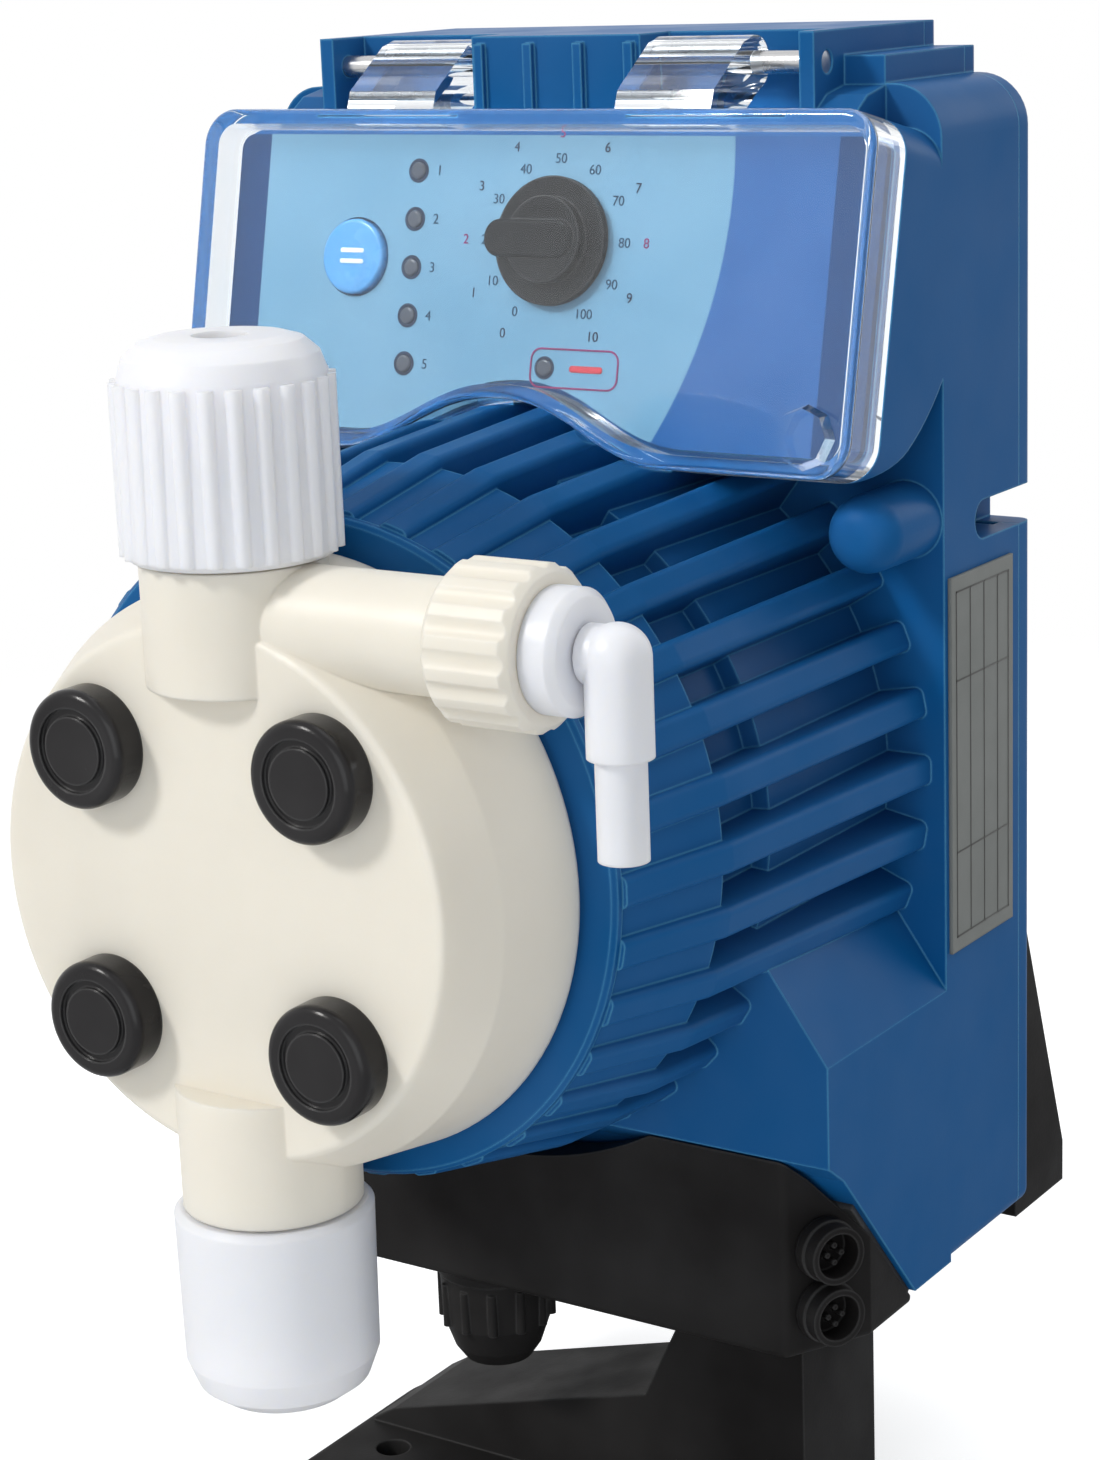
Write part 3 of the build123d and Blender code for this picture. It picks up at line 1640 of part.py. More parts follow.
with BuildPart() as pump_head:
    revolve(
        about_pump_axis(
            [
                (head_rear, 0),
                (head_rear, head_radius),
                (head_shoulder_y, head_shoulder_radius),
                (head_front, head_face_radius),
                (head_front, 0),
            ]
        ),
        axis=pump_axis,
    )
    fillet(pump_head.edges().filter_by(GeomType.CIRCLE).sort_by(Axis.Y)[:2], head_edge)
    # Ports, up and down
    extrude(
        disc(Plane.XY.offset(axis_z + head_face_radius - port_root), neck_radius, 0, port_y),
        amount=discharge_neck_top - axis_z - head_face_radius + port_root,
    )
    extrude(
        disc(Plane.XY.offset(axis_z - head_face_radius + port_root), neck_radius, 0, port_y),
        amount=suction_neck_bottom - axis_z + head_face_radius - port_root,
    )
    extrude(
        disc(Plane.XY.offset(discharge_neck_top), spigot_radius, 0, port_y),
        amount=discharge_spigot_top - discharge_neck_top,
    )
    extrude(
        disc(Plane.XY.offset(suction_neck_bottom), spigot_radius, 0, port_y),
        amount=suction_spigot_bottom - suction_neck_bottom,
    )
    # Purge boss
    extrude(disc(Plane.YZ, purge_boss_radius, port_y, purge_z), amount=purge_boss_end)
    # Recess for the diaphragm and the pumping chamber
    extrude(
        disc(across(head_rear), diaphragm_radius + small_gap, 0, axis_z),
        amount=recess_depth,
        mode=Mode.SUBTRACT,
    )
    extrude(
        disc(across(head_rear), chamber_radius, 0, axis_z),
        amount=recess_depth + chamber_depth,
        mode=Mode.SUBTRACT,
    )
    # Valve pockets and passages
    extrude(
        disc(Plane.XY.offset(pocket_discharge), pocket_radius, 0, port_y),
        amount=pocket_length,
        mode=Mode.SUBTRACT,
    )
    extrude(
        disc(Plane.XY.offset(suction_spigot_bottom), pocket_radius, 0, port_y),
        amount=pocket_length,
        mode=Mode.SUBTRACT,
    )
    extrude(
        disc(Plane.XY.offset(axis_z + passage_offset), passage_radius, 0, port_y),
        amount=pocket_discharge - axis_z - passage_offset,
        mode=Mode.SUBTRACT,
    )
    extrude(
        disc(Plane.XY.offset(pocket_suction), passage_radius, 0, port_y),
        amount=axis_z - passage_offset - pocket_suction,
        mode=Mode.SUBTRACT,
    )
    for side in (-1, 1):
        extrude(
            disc(across(head_rear), passage_radius, 0, axis_z + side * passage_offset),
            amount=head_rear - port_y + passage_radius / 2,
            mode=Mode.SUBTRACT,
        )
    # Purge bore and its channel
    extrude(
        disc(Plane.YZ.offset(purge_tip_x), purge_bore_radius, port_y, purge_z),
        amount=body_half,
        mode=Mode.SUBTRACT,
    )
    extrude(disc(Plane.YZ, purge_channel_radius, port_y, purge_z), amount=body_half, mode=Mode.SUBTRACT)
    # Screw holes
    extrude(screw_circles(head_front, counterbore_radius), amount=-counterbore_depth, mode=Mode.SUBTRACT)
    extrude(
        screw_circles(head_front, screw_radius + screw_clearance),
        amount=-(head_rear - head_front),
        mode=Mode.SUBTRACT,
    )
write(pump_head, "pump_head")

washer_rear = head_front + counterbore_depth
screw_seat = washer_rear - washer_thickness

with BuildPart() as head_washers:
    extrude(screw_circles(washer_rear, screw_head_radius + washer_margin), amount=washer_thickness)
    extrude(
        screw_circles(washer_rear, screw_radius + loose_fit / 2),
        amount=washer_thickness,
        mode=Mode.SUBTRACT,
    )
write(head_washers, "head_washers")

with BuildPart() as head_screws:
    for x, z in head_screws_at:
        add(
            screw(
                plane_at(x, screw_seat, z, (0, -1, 0)),
                screw_radius,
                plate_back_y - screw_seat,
                screw_head_radius,
                screw_head_height,
            ),
        )
    for x, z in head_screws_at:
        with BuildSketch(across(screw_seat - screw_head_height)):
            with Locations((x, z)):
                RegularPolygon(screw_radius, 6)
        extrude(amount=-screw_head_height / 2, mode=Mode.SUBTRACT)
write(head_screws, "head_screws")

with BuildPart() as screw_cap:
    extrude(disc(across(head_front), cap_radius), amount=cap_height)
    fillet(screw_cap.edges().sort_by(Axis.Y)[0], cap_edge)
    extrude(
        ring(
            across(head_front - cap_height),
            cap_radius - cap_groove_inset,
            cap_radius - cap_groove_inset - cap_groove_width,
        ),
        amount=-cap_groove_depth,
        mode=Mode.SUBTRACT,
    )
    extrude(
        ring(across(head_front), counterbore_radius, counterbore_radius - cap_wall),
        amount=-counterbore_depth / 2,
    )
    extrude(
        disc(across(head_front), counterbore_radius - cap_wall),
        amount=cap_height - 2 * cap_wall,
        mode=Mode.SUBTRACT,
    )

with BuildPart() as screw_caps:
    for x, z in head_screws_at:
        add(screw_cap.part.moved(Location((x, 0, z))))
write(screw_caps, "screw_caps")

# ---------------------------------------------------------------- valves and hose connections

ball_height = sqrt(ball_radius**2 - seat_bore**2) + seat_gap
cage_length = pocket_length - seat_length - stub_length
ball_room = ball_height + ball_radius + ball_lift + running_fit


def valve_ring(z):
    """An O-ring in its groove at height z of a valve pocket."""
    with BuildPart(mode=Mode.PRIVATE) as piece:
        with BuildSketch(port_plane):
            with Locations((ring_radius, z)):
                Circle(oring_section)
        revolve(axis=port_axis)
    return piece.part


def ring_groove(z):
    """Front half section of the groove for an O-ring, from its floor outwards."""
    return ring(
        Plane.XY.offset(z - oring_section),
        stack_radius + 1,
        ring_radius - oring_section,
        0,
        port_y,
    )


stack_radius = pocket_radius - stack_fit
ring_radius = pocket_radius - oring_section
seat_heights = (suction_spigot_bottom + stub_length, pocket_discharge)
nipple_ends = ((suction_spigot_bottom, -1), (discharge_spigot_top, 1))

with BuildPart() as valve_seats:
    for z in seat_heights:
        seat_plane = Plane.XY.offset(z)
        extrude(disc(seat_plane, stack_radius, 0, port_y), amount=seat_length)
        extrude(disc(seat_plane, seat_bore, 0, port_y), amount=seat_length, mode=Mode.SUBTRACT)
        extrude(ring_groove(z + seat_length / 2), amount=2 * oring_section, mode=Mode.SUBTRACT)
write(valve_seats, "valve_seats")

with BuildPart() as valve_cages:
    for z in seat_heights:
        cage_plane = Plane.XY.offset(z + seat_length)
        extrude(disc(cage_plane, stack_radius, 0, port_y), amount=cage_length)
        extrude(disc(cage_plane, cage_bore, 0, port_y), amount=ball_room, mode=Mode.SUBTRACT)
        extrude(disc(cage_plane, nipple_bore, 0, port_y), amount=cage_length, mode=Mode.SUBTRACT)
        # Flow slots beside the ball
        with BuildSketch(cage_plane):
            with Locations((0, port_y)):
                Rectangle(2 * (cage_bore + flow_slot_reach), flow_slot_width)
                Rectangle(flow_slot_width, 2 * (cage_bore + flow_slot_reach))
        extrude(amount=cage_length, mode=Mode.SUBTRACT)
write(valve_cages, "valve_cages")

with BuildPart() as suction_ball:
    with Locations((0, port_y, seat_heights[0] + seat_length + ball_height)):
        Sphere(ball_radius)
write(suction_ball, "suction_ball")

with BuildPart() as discharge_ball:
    with Locations((0, port_y, seat_heights[1] + seat_length + ball_height)):
        Sphere(ball_radius)
write(discharge_ball, "discharge_ball")

with BuildPart() as hose_nipples:
    for z, outward in nipple_ends:
        start = Plane.XY.offset(z)
        extrude(disc(start, stack_radius, 0, port_y), amount=-outward * stub_length)
        extrude(ring_groove(z - outward * stub_length / 2), amount=2 * oring_section, mode=Mode.SUBTRACT)
        extrude(disc(start, nipple_flange_radius, 0, port_y), amount=outward * nipple_flange)
        extrude(disc(start, nipple_radius, 0, port_y), amount=outward * nipple_length)
        extrude(
            disc(start.offset(-outward * stub_length), nipple_bore, 0, port_y),
            amount=outward * (stub_length + nipple_length),
            mode=Mode.SUBTRACT,
        )
write(hose_nipples, "hose_nipples")

with BuildPart() as valve_orings:
    for z in seat_heights:
        add(valve_ring(z + seat_length / 2))
    for z, outward in nipple_ends:
        add(valve_ring(z - outward * stub_length / 2))
write(valve_orings, "valve_orings")

with BuildPart() as discharge_nut:
    revolve(
        about_port_axis(
            [
                (discharge_nut_low, spigot_radius),
                (discharge_nut_low, discharge_nut_radius - 2 * nut_lip),
                (discharge_nut_low + nut_lip, discharge_nut_radius - nut_lip),
                *[
                    (discharge_nut_top - drop, discharge_nut_radius - inset)
                    for drop, inset in discharge_shoulder
                ],
                (discharge_nut_top, hose_hole_radius),
                (discharge_nut_top - nut_end_wall, hose_hole_radius),
                (
                    discharge_spigot_top + nipple_flange + nut_pocket_step,
                    nipple_flange_radius - nut_pocket_inset,
                ),
                (discharge_spigot_top + nipple_flange, nipple_flange_radius - nut_pocket_inset),
                (discharge_spigot_top + nipple_flange, spigot_radius),
            ]
        ),
        axis=port_axis,
    )
    with BuildSketch(Plane.XY.offset(discharge_nut_low + nut_lip)):
        with Locations((0, port_y)):
            with PolarLocations(discharge_nut_radius - discharge_rib_radius, discharge_rib_count):
                Circle(discharge_rib_radius)
    extrude(amount=discharge_nut_top - discharge_nut_low - discharge_rib_short)
write(discharge_nut, "discharge_nut")

with BuildPart() as suction_nut:
    revolve(
        about_port_axis(
            [
                (suction_nut_high, spigot_radius),
                (suction_nut_high, suction_nut_radius - suction_lip),
                (suction_nut_high - suction_lip, suction_nut_radius),
                *[
                    (suction_nut_bottom + rise, suction_nut_radius - inset)
                    for rise, inset in suction_shoulder
                ],
                (suction_nut_bottom, hose_hole_radius),
                (suction_nut_bottom + nut_end_wall, hose_hole_radius),
                (
                    suction_spigot_bottom - nipple_flange - nut_pocket_step,
                    nipple_flange_radius - nut_pocket_inset,
                ),
                (suction_spigot_bottom - nipple_flange, nipple_flange_radius - nut_pocket_inset),
                (suction_spigot_bottom - nipple_flange, spigot_radius),
            ]
        ),
        axis=port_axis,
    )
write(suction_nut, "suction_nut")

# ---------------------------------------------------------------- purge valve

stem_radius = purge_bore_radius - running_fit

with BuildPart() as purge_stem:
    revolve(
        about_purge_axis(
            [
                (purge_tip_x + small_gap, 0),
                (purge_tip_x + small_gap, stem_radius - purge_edge),
                (purge_tip_x + small_gap + purge_edge, stem_radius),
                (purge_ring_x - oring_section, stem_radius),
                (purge_ring_x - oring_section, stem_radius - 2 * purge_ring_section),
                (purge_ring_x + oring_section, stem_radius - 2 * purge_ring_section),
                (purge_ring_x + oring_section, stem_radius),
                (purge_knob_end - purge_stem_seat, stem_radius),
                (purge_knob_end - purge_stem_seat, 0),
            ]
        ),
        axis=purge_axis,
    )
write(purge_stem, "purge_stem")

with BuildPart() as purge_oring:
    with BuildSketch(port_plane):
        with Locations((purge_ring_x, purge_z + stem_radius - purge_ring_section)):
            Circle(purge_ring_section)
    revolve(axis=purge_axis)
write(purge_oring, "purge_oring")

with BuildPart() as purge_knob:
    revolve(
        about_purge_axis(
            [
                (purge_knob_start, stem_radius),
                (purge_knob_start, purge_knob_radius - purge_edge),
                (purge_knob_start + purge_edge, purge_knob_radius),
                (purge_knob_end - purge_edge, purge_knob_radius),
                (purge_knob_end, purge_knob_radius - purge_edge),
                (purge_knob_end, purge_spigot_radius),
                (purge_knob_end + purge_spigot_length, purge_spigot_radius),
                (purge_knob_end + purge_spigot_length, 0),
                (purge_knob_end - purge_stem_seat, 0),
                (purge_knob_end - purge_stem_seat, stem_radius),
            ]
        ),
        axis=purge_axis,
    )
    flute_circle = purge_knob_radius + purge_flute_radius - purge_flute_depth
    with BuildSketch(Plane.YZ.offset(purge_knob_start)):
        with Locations((port_y, purge_z)):
            with PolarLocations(flute_circle, purge_flute_count):
                Circle(purge_flute_radius)
    extrude(amount=purge_knob_end - purge_knob_start, mode=Mode.SUBTRACT)
write(purge_knob, "purge_knob")

collar_start = purge_knob_end + collar_gap

with BuildPart() as purge_collar:
    revolve(
        about_purge_axis(
            [
                (collar_start, purge_spigot_radius + running_fit),
                (collar_start, purge_collar_radius),
                (purge_collar_end - purge_edge, purge_collar_radius),
                (purge_collar_end, purge_collar_radius - purge_edge),
                (purge_collar_end, purge_nozzle_radius + running_fit),
                (purge_collar_end - collar_lip, purge_nozzle_radius + running_fit),
                (purge_collar_end - collar_lip, purge_spigot_radius + running_fit),
            ]
        ),
        axis=purge_axis,
    )
write(purge_collar, "purge_collar")

with BuildPart() as purge_elbow:
    extrude(
        disc(
            Plane.XY.offset(purge_nozzle_low + purge_nozzle_length),
            purge_elbow_radius,
            purge_elbow_x,
            port_y,
        ),
        amount=purge_z - purge_nozzle_low - purge_nozzle_length,
    )
    with Locations((purge_elbow_x, port_y, purge_z)):
        Sphere(purge_elbow_radius)
    extrude(
        disc(Plane.YZ.offset(purge_collar_end - elbow_spigot_depth), purge_nozzle_radius, port_y, purge_z),
        amount=elbow_spigot_depth + purge_edge,
    )
    extrude(
        disc(
            Plane.YZ.offset(purge_collar_end + loose_fit),
            purge_nozzle_radius + elbow_arm_margin,
            port_y,
            purge_z,
        ),
        amount=purge_elbow_x - purge_collar_end - elbow_spigot_depth,
    )
    extrude(
        disc(Plane.XY.offset(purge_nozzle_low), purge_nozzle_radius, purge_elbow_x, port_y),
        amount=purge_nozzle_length,
    )
    extrude(
        disc(Plane.XY.offset(purge_nozzle_low), purge_channel_radius, purge_elbow_x, port_y),
        amount=purge_z - purge_nozzle_low,
        mode=Mode.SUBTRACT,
    )
    extrude(
        disc(Plane.YZ.offset(purge_collar_end - elbow_spigot_depth), purge_channel_radius, port_y, purge_z),
        amount=purge_elbow_x - purge_collar_end + elbow_spigot_depth,
        mode=Mode.SUBTRACT,
    )
write(purge_elbow, "purge_elbow")
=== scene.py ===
import bpy
import json
from math import cos, pi, radians, sin
from mathutils import Matrix, Vector


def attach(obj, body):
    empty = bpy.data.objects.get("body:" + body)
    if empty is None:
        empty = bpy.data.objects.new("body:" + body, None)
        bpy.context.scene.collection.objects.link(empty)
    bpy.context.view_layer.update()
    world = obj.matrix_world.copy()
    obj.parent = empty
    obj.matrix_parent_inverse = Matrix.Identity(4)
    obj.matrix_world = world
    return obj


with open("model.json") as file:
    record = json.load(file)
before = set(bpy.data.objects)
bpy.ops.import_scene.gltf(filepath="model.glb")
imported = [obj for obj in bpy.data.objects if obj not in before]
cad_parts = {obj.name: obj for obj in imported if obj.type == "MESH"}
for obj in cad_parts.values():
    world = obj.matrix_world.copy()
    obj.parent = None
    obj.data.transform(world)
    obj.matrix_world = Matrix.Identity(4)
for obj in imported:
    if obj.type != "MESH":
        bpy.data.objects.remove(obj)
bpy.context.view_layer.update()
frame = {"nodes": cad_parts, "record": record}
nodes = frame["nodes"]

MM = 0.001

# Colours, linear RGB
BLUE = (0.003, 0.100, 0.300)
# Paler blue on the casing's edges: a painted highlight
BLUE_EDGE_HIGHLIGHT = (0.12, 0.42, 0.68)
BUTTON_BLUE = (0.030, 0.250, 0.560)
BLACK = (0.011, 0.010, 0.010)
CAP_BLACK = (0.005, 0.004, 0.005)
KNOB_BLACK = (0.002, 0.003, 0.005)
COMPONENT_BLACK = (0.02, 0.02, 0.022)
RUBBER_BLACK = (0.015, 0.015, 0.016)
LAMP_DARK = (0.012, 0.022, 0.045)
CREAM = (0.84, 0.79, 0.69)
NATURAL = (0.89, 0.89, 0.93)
DIAPHRAGM_WHITE = (0.80, 0.80, 0.78)
CERAMIC_WHITE = (0.84, 0.83, 0.79)
CLEAR_TINT = (0.93, 0.97, 1.0)
SCUFF_TINT = (0.98, 0.99, 1.0)
# Whitish diffuse part of the clear cover: a faint even cloudiness, and a painted sheen at grazing angles
HAZE_AND_SHEEN_TINT = (0.80, 0.84, 0.86)
SHADOW_TINT = (0.90, 0.95, 0.98)
LABEL_GREY = (0.20, 0.21, 0.20)
BOARD_GREEN = (0.02, 0.17, 0.08)
STEEL = (0.60, 0.60, 0.61)
ALUMINIUM = (0.78, 0.78, 0.79)
BRASS = (0.72, 0.52, 0.24)
COPPER = (0.60, 0.24, 0.10)
PANEL_PALE = (0.120, 0.265, 0.385)
PANEL_DEEP = (0.004, 0.080, 0.260)
# Darker band along both sides of the panel: painted shade from the clear cover's walls
PANEL_SIDE_SHADE = (0.004, 0.040, 0.130)
INK_DARK = (0.003, 0.020, 0.060)
INK_TEAL = (0.003, 0.055, 0.120)
INK_ROSE = (0.240, 0.015, 0.120)
INK_RED = (0.550, 0.040, 0.060)
INK_WHITE = (0.800, 0.860, 0.900)
INK_RULE = (0.060, 0.060, 0.055)

# Texture scales, in cycles a metre
CLOUD_SCALE = 26
DUST_SCALE = 210
GLOSS_SCALE = 90
WAVE_SCALE = 160
STREAK_SCALE = 120
SCUFF_SCALE = 70
RIPPLE_SCALE = 35
FILM_CLOUD_SCALE = 30
FILM_GLOSS_SCALE = 120
FILM_GRAIN_SCALE = 1400

# Depths of the textures and radius of the rounded edges, in metres
EDGE_RADIUS = 0.0005
WAVE_DEPTH = 0.00008
STREAK_DEPTH = 0.00002
RIPPLE_DEPTH = 0.0004

# Strengths and shares, from 0 to 1, and refractive indices
NOISE_LOW, NOISE_HIGH = 0.3, 0.7
EDGE_START, EDGE_END = 0.985, 0.86
GRAIN_STRENGTH = 0.35
WAVE_STRENGTH = 0.25
STREAK_STRENGTH = 0.2
RIPPLE_STRENGTH = 0.06
DUST_PALENESS = 0.35
# Paleness of the edges: part wear, part painted highlight
EDGE_WEAR_AND_HIGHLIGHT_PALENESS = 0.45
COAT_ROUGHNESS = 0.12
CLEAR_ROUGHNESS = (0.015, 0.05)
CLEAR_CLOUD = 0.004
# Extra whiteness of the clear cover at grazing angles: a painted sheen
CLEAR_RIM_SHEEN = 0.40
RIM_BLEND = 0.25
RIM_START = 0.45
FILM_GLOSS = 0.05
FILM_ROUGHNESS = (0.32, 0.44)
PLASTIC_IOR = 1.49
CLEAR_IOR = 1.46

# ------------------------------------------------------------------ shader nodes


def add_node(tree, kind, links=None, values=None, **settings):
    """A shader node with its settings, the values of its inputs and the sockets linked to them."""
    node = tree.nodes.new("ShaderNode" + kind)
    for name, value in settings.items():
        setattr(node, name, value)
    for name, value in (values or {}).items():
        node.inputs[name].default_value = value
    for name, socket in (links or {}).items():
        tree.links.new(socket, node.inputs[name])
    return node


def new_material(name):
    """An empty material with its output, and the shader that the rest is linked to."""
    material = bpy.data.materials.new(name)
    material.use_nodes = True
    tree = material.node_tree
    tree.nodes.clear()
    output = add_node(tree, "OutputMaterial")
    shader = add_node(tree, "BsdfPrincipled")
    tree.links.new(shader.outputs["BSDF"], output.inputs["Surface"])
    return material, tree, shader, output


def own_place(tree):
    """The point's place in the piece's own metres."""
    return add_node(tree, "TexCoord").outputs["Object"]


def noise(tree, scale, detail=4.0, roughness=0.55, stretch=(1, 1, 1)):
    """Noise in the piece's own metres; scale is in cycles a metre."""
    mapping = add_node(tree, "Mapping", {"Vector": own_place(tree)}, {"Scale": stretch})
    values = {"Scale": scale, "Detail": detail, "Roughness": roughness}
    return add_node(tree, "TexNoise", {"Vector": mapping.outputs["Vector"]}, values).outputs["Fac"]


def mapped(tree, value, start, end, low=0.0, high=1.0):
    """A value from start to end, mapped to low to high and held there beyond them."""
    values = {"From Min": start, "From Max": end, "To Min": low, "To Max": high}
    return add_node(tree, "MapRange", {"Value": value}, values).outputs["Result"]


def spread(tree, value, low, high):
    """Noise, which lies mostly between NOISE_LOW and NOISE_HIGH, spread over low to high."""
    return mapped(tree, value, NOISE_LOW, NOISE_HIGH, low, high)


def mixed(tree, factor, first, second):
    """Mix of two colours, each a tuple or a socket."""
    node = add_node(tree, "Mix", {"Factor": factor}, data_type="RGBA")
    for socket, value in (("A", first), ("B", second)):
        target = [s for s in node.inputs if s.name == socket and s.type == "RGBA"][0]
        if isinstance(value, bpy.types.NodeSocket):
            tree.links.new(value, target)
        else:
            target.default_value = (*value, 1)
    return [s for s in node.outputs if s.type == "RGBA"][0]


def larger(tree, first, second):
    """The larger of two values."""
    return add_node(tree, "Math", {0: first, 1: second}, operation="MAXIMUM").outputs["Value"]


def mixed_shader(tree, factor, first, second):
    """Mix of two shaders."""
    return add_node(tree, "MixShader", {"Fac": factor, 1: first, 2: second}).outputs["Shader"]


def soft_edges(tree, edge_wear_and_highlight):
    """Rounded-edge normal, and a mask for paler edges, part wear and part painted highlight, which reaches
    the given share at the edges and is 0 on flat faces.

    The mask comes from the cosine between the rounded normal and the real one.
    """
    bevel = add_node(tree, "Bevel", values={"Radius": EDGE_RADIUS}, samples=4)
    flat = add_node(tree, "NewGeometry").outputs["Normal"]
    rounded = bevel.outputs["Normal"]
    alike = add_node(tree, "VectorMath", {0: rounded, 1: flat}, operation="DOT_PRODUCT").outputs["Value"]
    return rounded, mapped(tree, alike, EDGE_START, EDGE_END, high=edge_wear_and_highlight)


def bumped(tree, shader, layers, last=None):
    """Bump from (height, strength, distance) layers, one over another."""
    for height, strength, distance in layers:
        links = {"Height": height}
        if last is not None:
            links["Normal"] = last
        last = add_node(tree, "Bump", links, {"Strength": strength, "Distance": distance}).outputs["Normal"]
    tree.links.new(last, shader.inputs["Normal"])


def darker(colour, by):
    return tuple(c * by for c in colour)


def lighter(colour, by):
    return tuple(c + (1 - c) * by for c in colour)


# ------------------------------------------------------------------ materials


def moulded(name, colour, rough=(0.34, 0.46), grain=2600.0, grain_depth=0.00003, edge_wear_and_highlight=0.10, dust=0.05,
            subsurface=0.0, radius=0.002, coat=0.0, gloss=0.5, edge_colour=None):
    """Moulded plastic: faint cloudy colour, fine grain, paler edges that are part wear and part painted
    highlight, and uneven gloss.
    """
    material, tree, shader, _ = new_material(name)
    cloud = spread(tree, noise(tree, CLOUD_SCALE, 3), 0, 1)
    base = mixed(tree, cloud, darker(colour, 0.93), lighter(colour, 0.02))
    dusty = spread(tree, noise(tree, DUST_SCALE, 5), 0, dust)
    base = mixed(tree, dusty, base, lighter(colour, DUST_PALENESS))
    # Paler edges: part wear, part painted highlight along the edges
    normal, edge = soft_edges(tree, edge_wear_and_highlight)
    base = mixed(tree, edge, base, edge_colour or lighter(colour, EDGE_WEAR_AND_HIGHLIGHT_PALENESS))
    tree.links.new(base, shader.inputs["Base Color"])
    tree.links.new(spread(tree, noise(tree, GLOSS_SCALE, 4), *rough), shader.inputs["Roughness"])
    shader.inputs["IOR"].default_value = PLASTIC_IOR
    shader.inputs["Specular IOR Level"].default_value = gloss
    shader.inputs["Coat Weight"].default_value = coat
    shader.inputs["Coat Roughness"].default_value = COAT_ROUGHNESS
    if subsurface:
        shader.inputs["Subsurface Weight"].default_value = subsurface
        shader.inputs["Subsurface Radius"].default_value = (1.0, 0.9, 0.75)
        shader.inputs["Subsurface Scale"].default_value = radius
    fine = (noise(tree, grain, 2), GRAIN_STRENGTH, grain_depth)
    wave = (noise(tree, WAVE_SCALE, 2), WAVE_STRENGTH, WAVE_DEPTH)
    bumped(tree, shader, [fine, wave], normal)
    return material


def metal(name, colour, rough=(0.22, 0.38), stretch=(1, 60, 1)):
    """Turned or drawn metal with fine streaks."""
    material, tree, shader, _ = new_material(name)
    streak = noise(tree, STREAK_SCALE, 4, 0.6, stretch)
    base = mixed(tree, spread(tree, streak, 0, 1), darker(colour, 0.86), lighter(colour, 0.06))
    tree.links.new(base, shader.inputs["Base Color"])
    tree.links.new(spread(tree, noise(tree, WAVE_SCALE, 4), *rough), shader.inputs["Roughness"])
    shader.inputs["Metallic"].default_value = 1.0
    bumped(tree, shader, [(streak, STREAK_STRENGTH, STREAK_DEPTH)])
    return material


def clear(name):
    """Clear moulded plastic with faint scuffs, a faint even cloudiness and a painted sheen that whitens it
    at grazing angles; shadows pass through it.
    """
    material, tree, shader, output = new_material(name)
    shader.inputs["Transmission Weight"].default_value = 1.0
    shader.inputs["IOR"].default_value = CLEAR_IOR
    scuff = noise(tree, SCUFF_SCALE, 6, 0.7)
    tint = mixed(tree, spread(tree, scuff, 0, 1), CLEAR_TINT, SCUFF_TINT)
    tree.links.new(tint, shader.inputs["Base Color"])
    tree.links.new(spread(tree, scuff, *CLEAR_ROUGHNESS), shader.inputs["Roughness"])
    bumped(tree, shader, [(noise(tree, RIPPLE_SCALE, 2), RIPPLE_STRENGTH, RIPPLE_DEPTH)])
    # Diffuse white: a faint even cloudiness, and a painted sheen that grows at grazing angles
    haze_and_sheen = add_node(tree, "BsdfDiffuse", values={"Color": (*HAZE_AND_SHEEN_TINT, 1)})
    facing = add_node(tree, "LayerWeight", values={"Blend": RIM_BLEND}).outputs["Facing"]
    amount = mapped(tree, facing, RIM_START, 1.0, CLEAR_CLOUD, CLEAR_CLOUD + CLEAR_RIM_SHEEN)
    hazy_and_sheened = mixed_shader(tree, amount, shader.outputs["BSDF"], haze_and_sheen.outputs["BSDF"])
    through = add_node(tree, "BsdfTransparent", values={"Color": (*SHADOW_TINT, 1)})
    shadow = add_node(tree, "LightPath").outputs["Is Shadow Ray"]
    surface = mixed_shader(tree, shadow, hazy_and_sheened, through.outputs["BSDF"])
    tree.links.new(surface, output.inputs["Surface"])
    return material


# ------------------------------------------------------------------ places on the panel, in millimetres

TILT = radians(12.5)
PANEL_UP = Vector((0, sin(TILT), cos(TILT)))
PANEL_OUT = Vector((0, -cos(TILT), sin(TILT)))
PANEL_ZERO = Vector((0, 14, 188)) * MM
PANEL_TURN = Matrix((Vector((1, 0, 0)), PANEL_UP, PANEL_OUT)).transposed()

PANEL_DEPTH = -6.4
PRINT_DEPTH = -6.34
PRINT_THICKNESS = 0.06
TEXT_EXTRUDE = 0.02
ARC_X, ARC_S = -34.0, 8.0
ARC_INNER, ARC_OUTER = 64.4, 64.7
# Where the painted shade along the panel's sides starts and is full, in mm from the middle
SIDE_SHADE_INNER, SIDE_SHADE_OUTER = 45.4, 45.6
KNOB_X, KNOB_S = 3.8, 0.6
SCALE_COUNT = 11
SCALE_START, SCALE_STEP = 240, 30
SCALE_INNER, SCALE_OUTER = 11.0, 14.4
SCALE_TEXT = 1.9
LAMP_COUNT = 5
LAMP_X, LAMP_FIGURE_X = -19.4, -15.9
LAMP_TOP, LAMP_PITCH = 9.8, 6.6
LAMP_TEXT = 2.0
LAMP_HOLE, LAMP_RING, ALARM_RING = 1.27, 1.65, 1.55
ALARM_S = -16.2
ALARM_FRAME_X, ALARM_FRAME_LINE = 8.5, 0.25
ALARM_FRAME = (7.0, 2.7, 1.6)
ALARM_BAR_X = 10.4
ALARM_BAR = (2.6, 0.45, 0.4)
BUTTON_X = -29.0
BUTTON_FACE = -5.37
BUTTON_MARK = (2.0, 0.32, 0.3)
BUTTON_MARKS = {"button_mark": -1.4, "button_mark_low": -2.9}


def on_panel(x, s, n):
    """Point at x to the right, s up the panel and n out from the clear cover's face, in millimetres."""
    return PANEL_ZERO + (Vector((1, 0, 0)) * x + PANEL_UP * s + PANEL_OUT * n) * MM


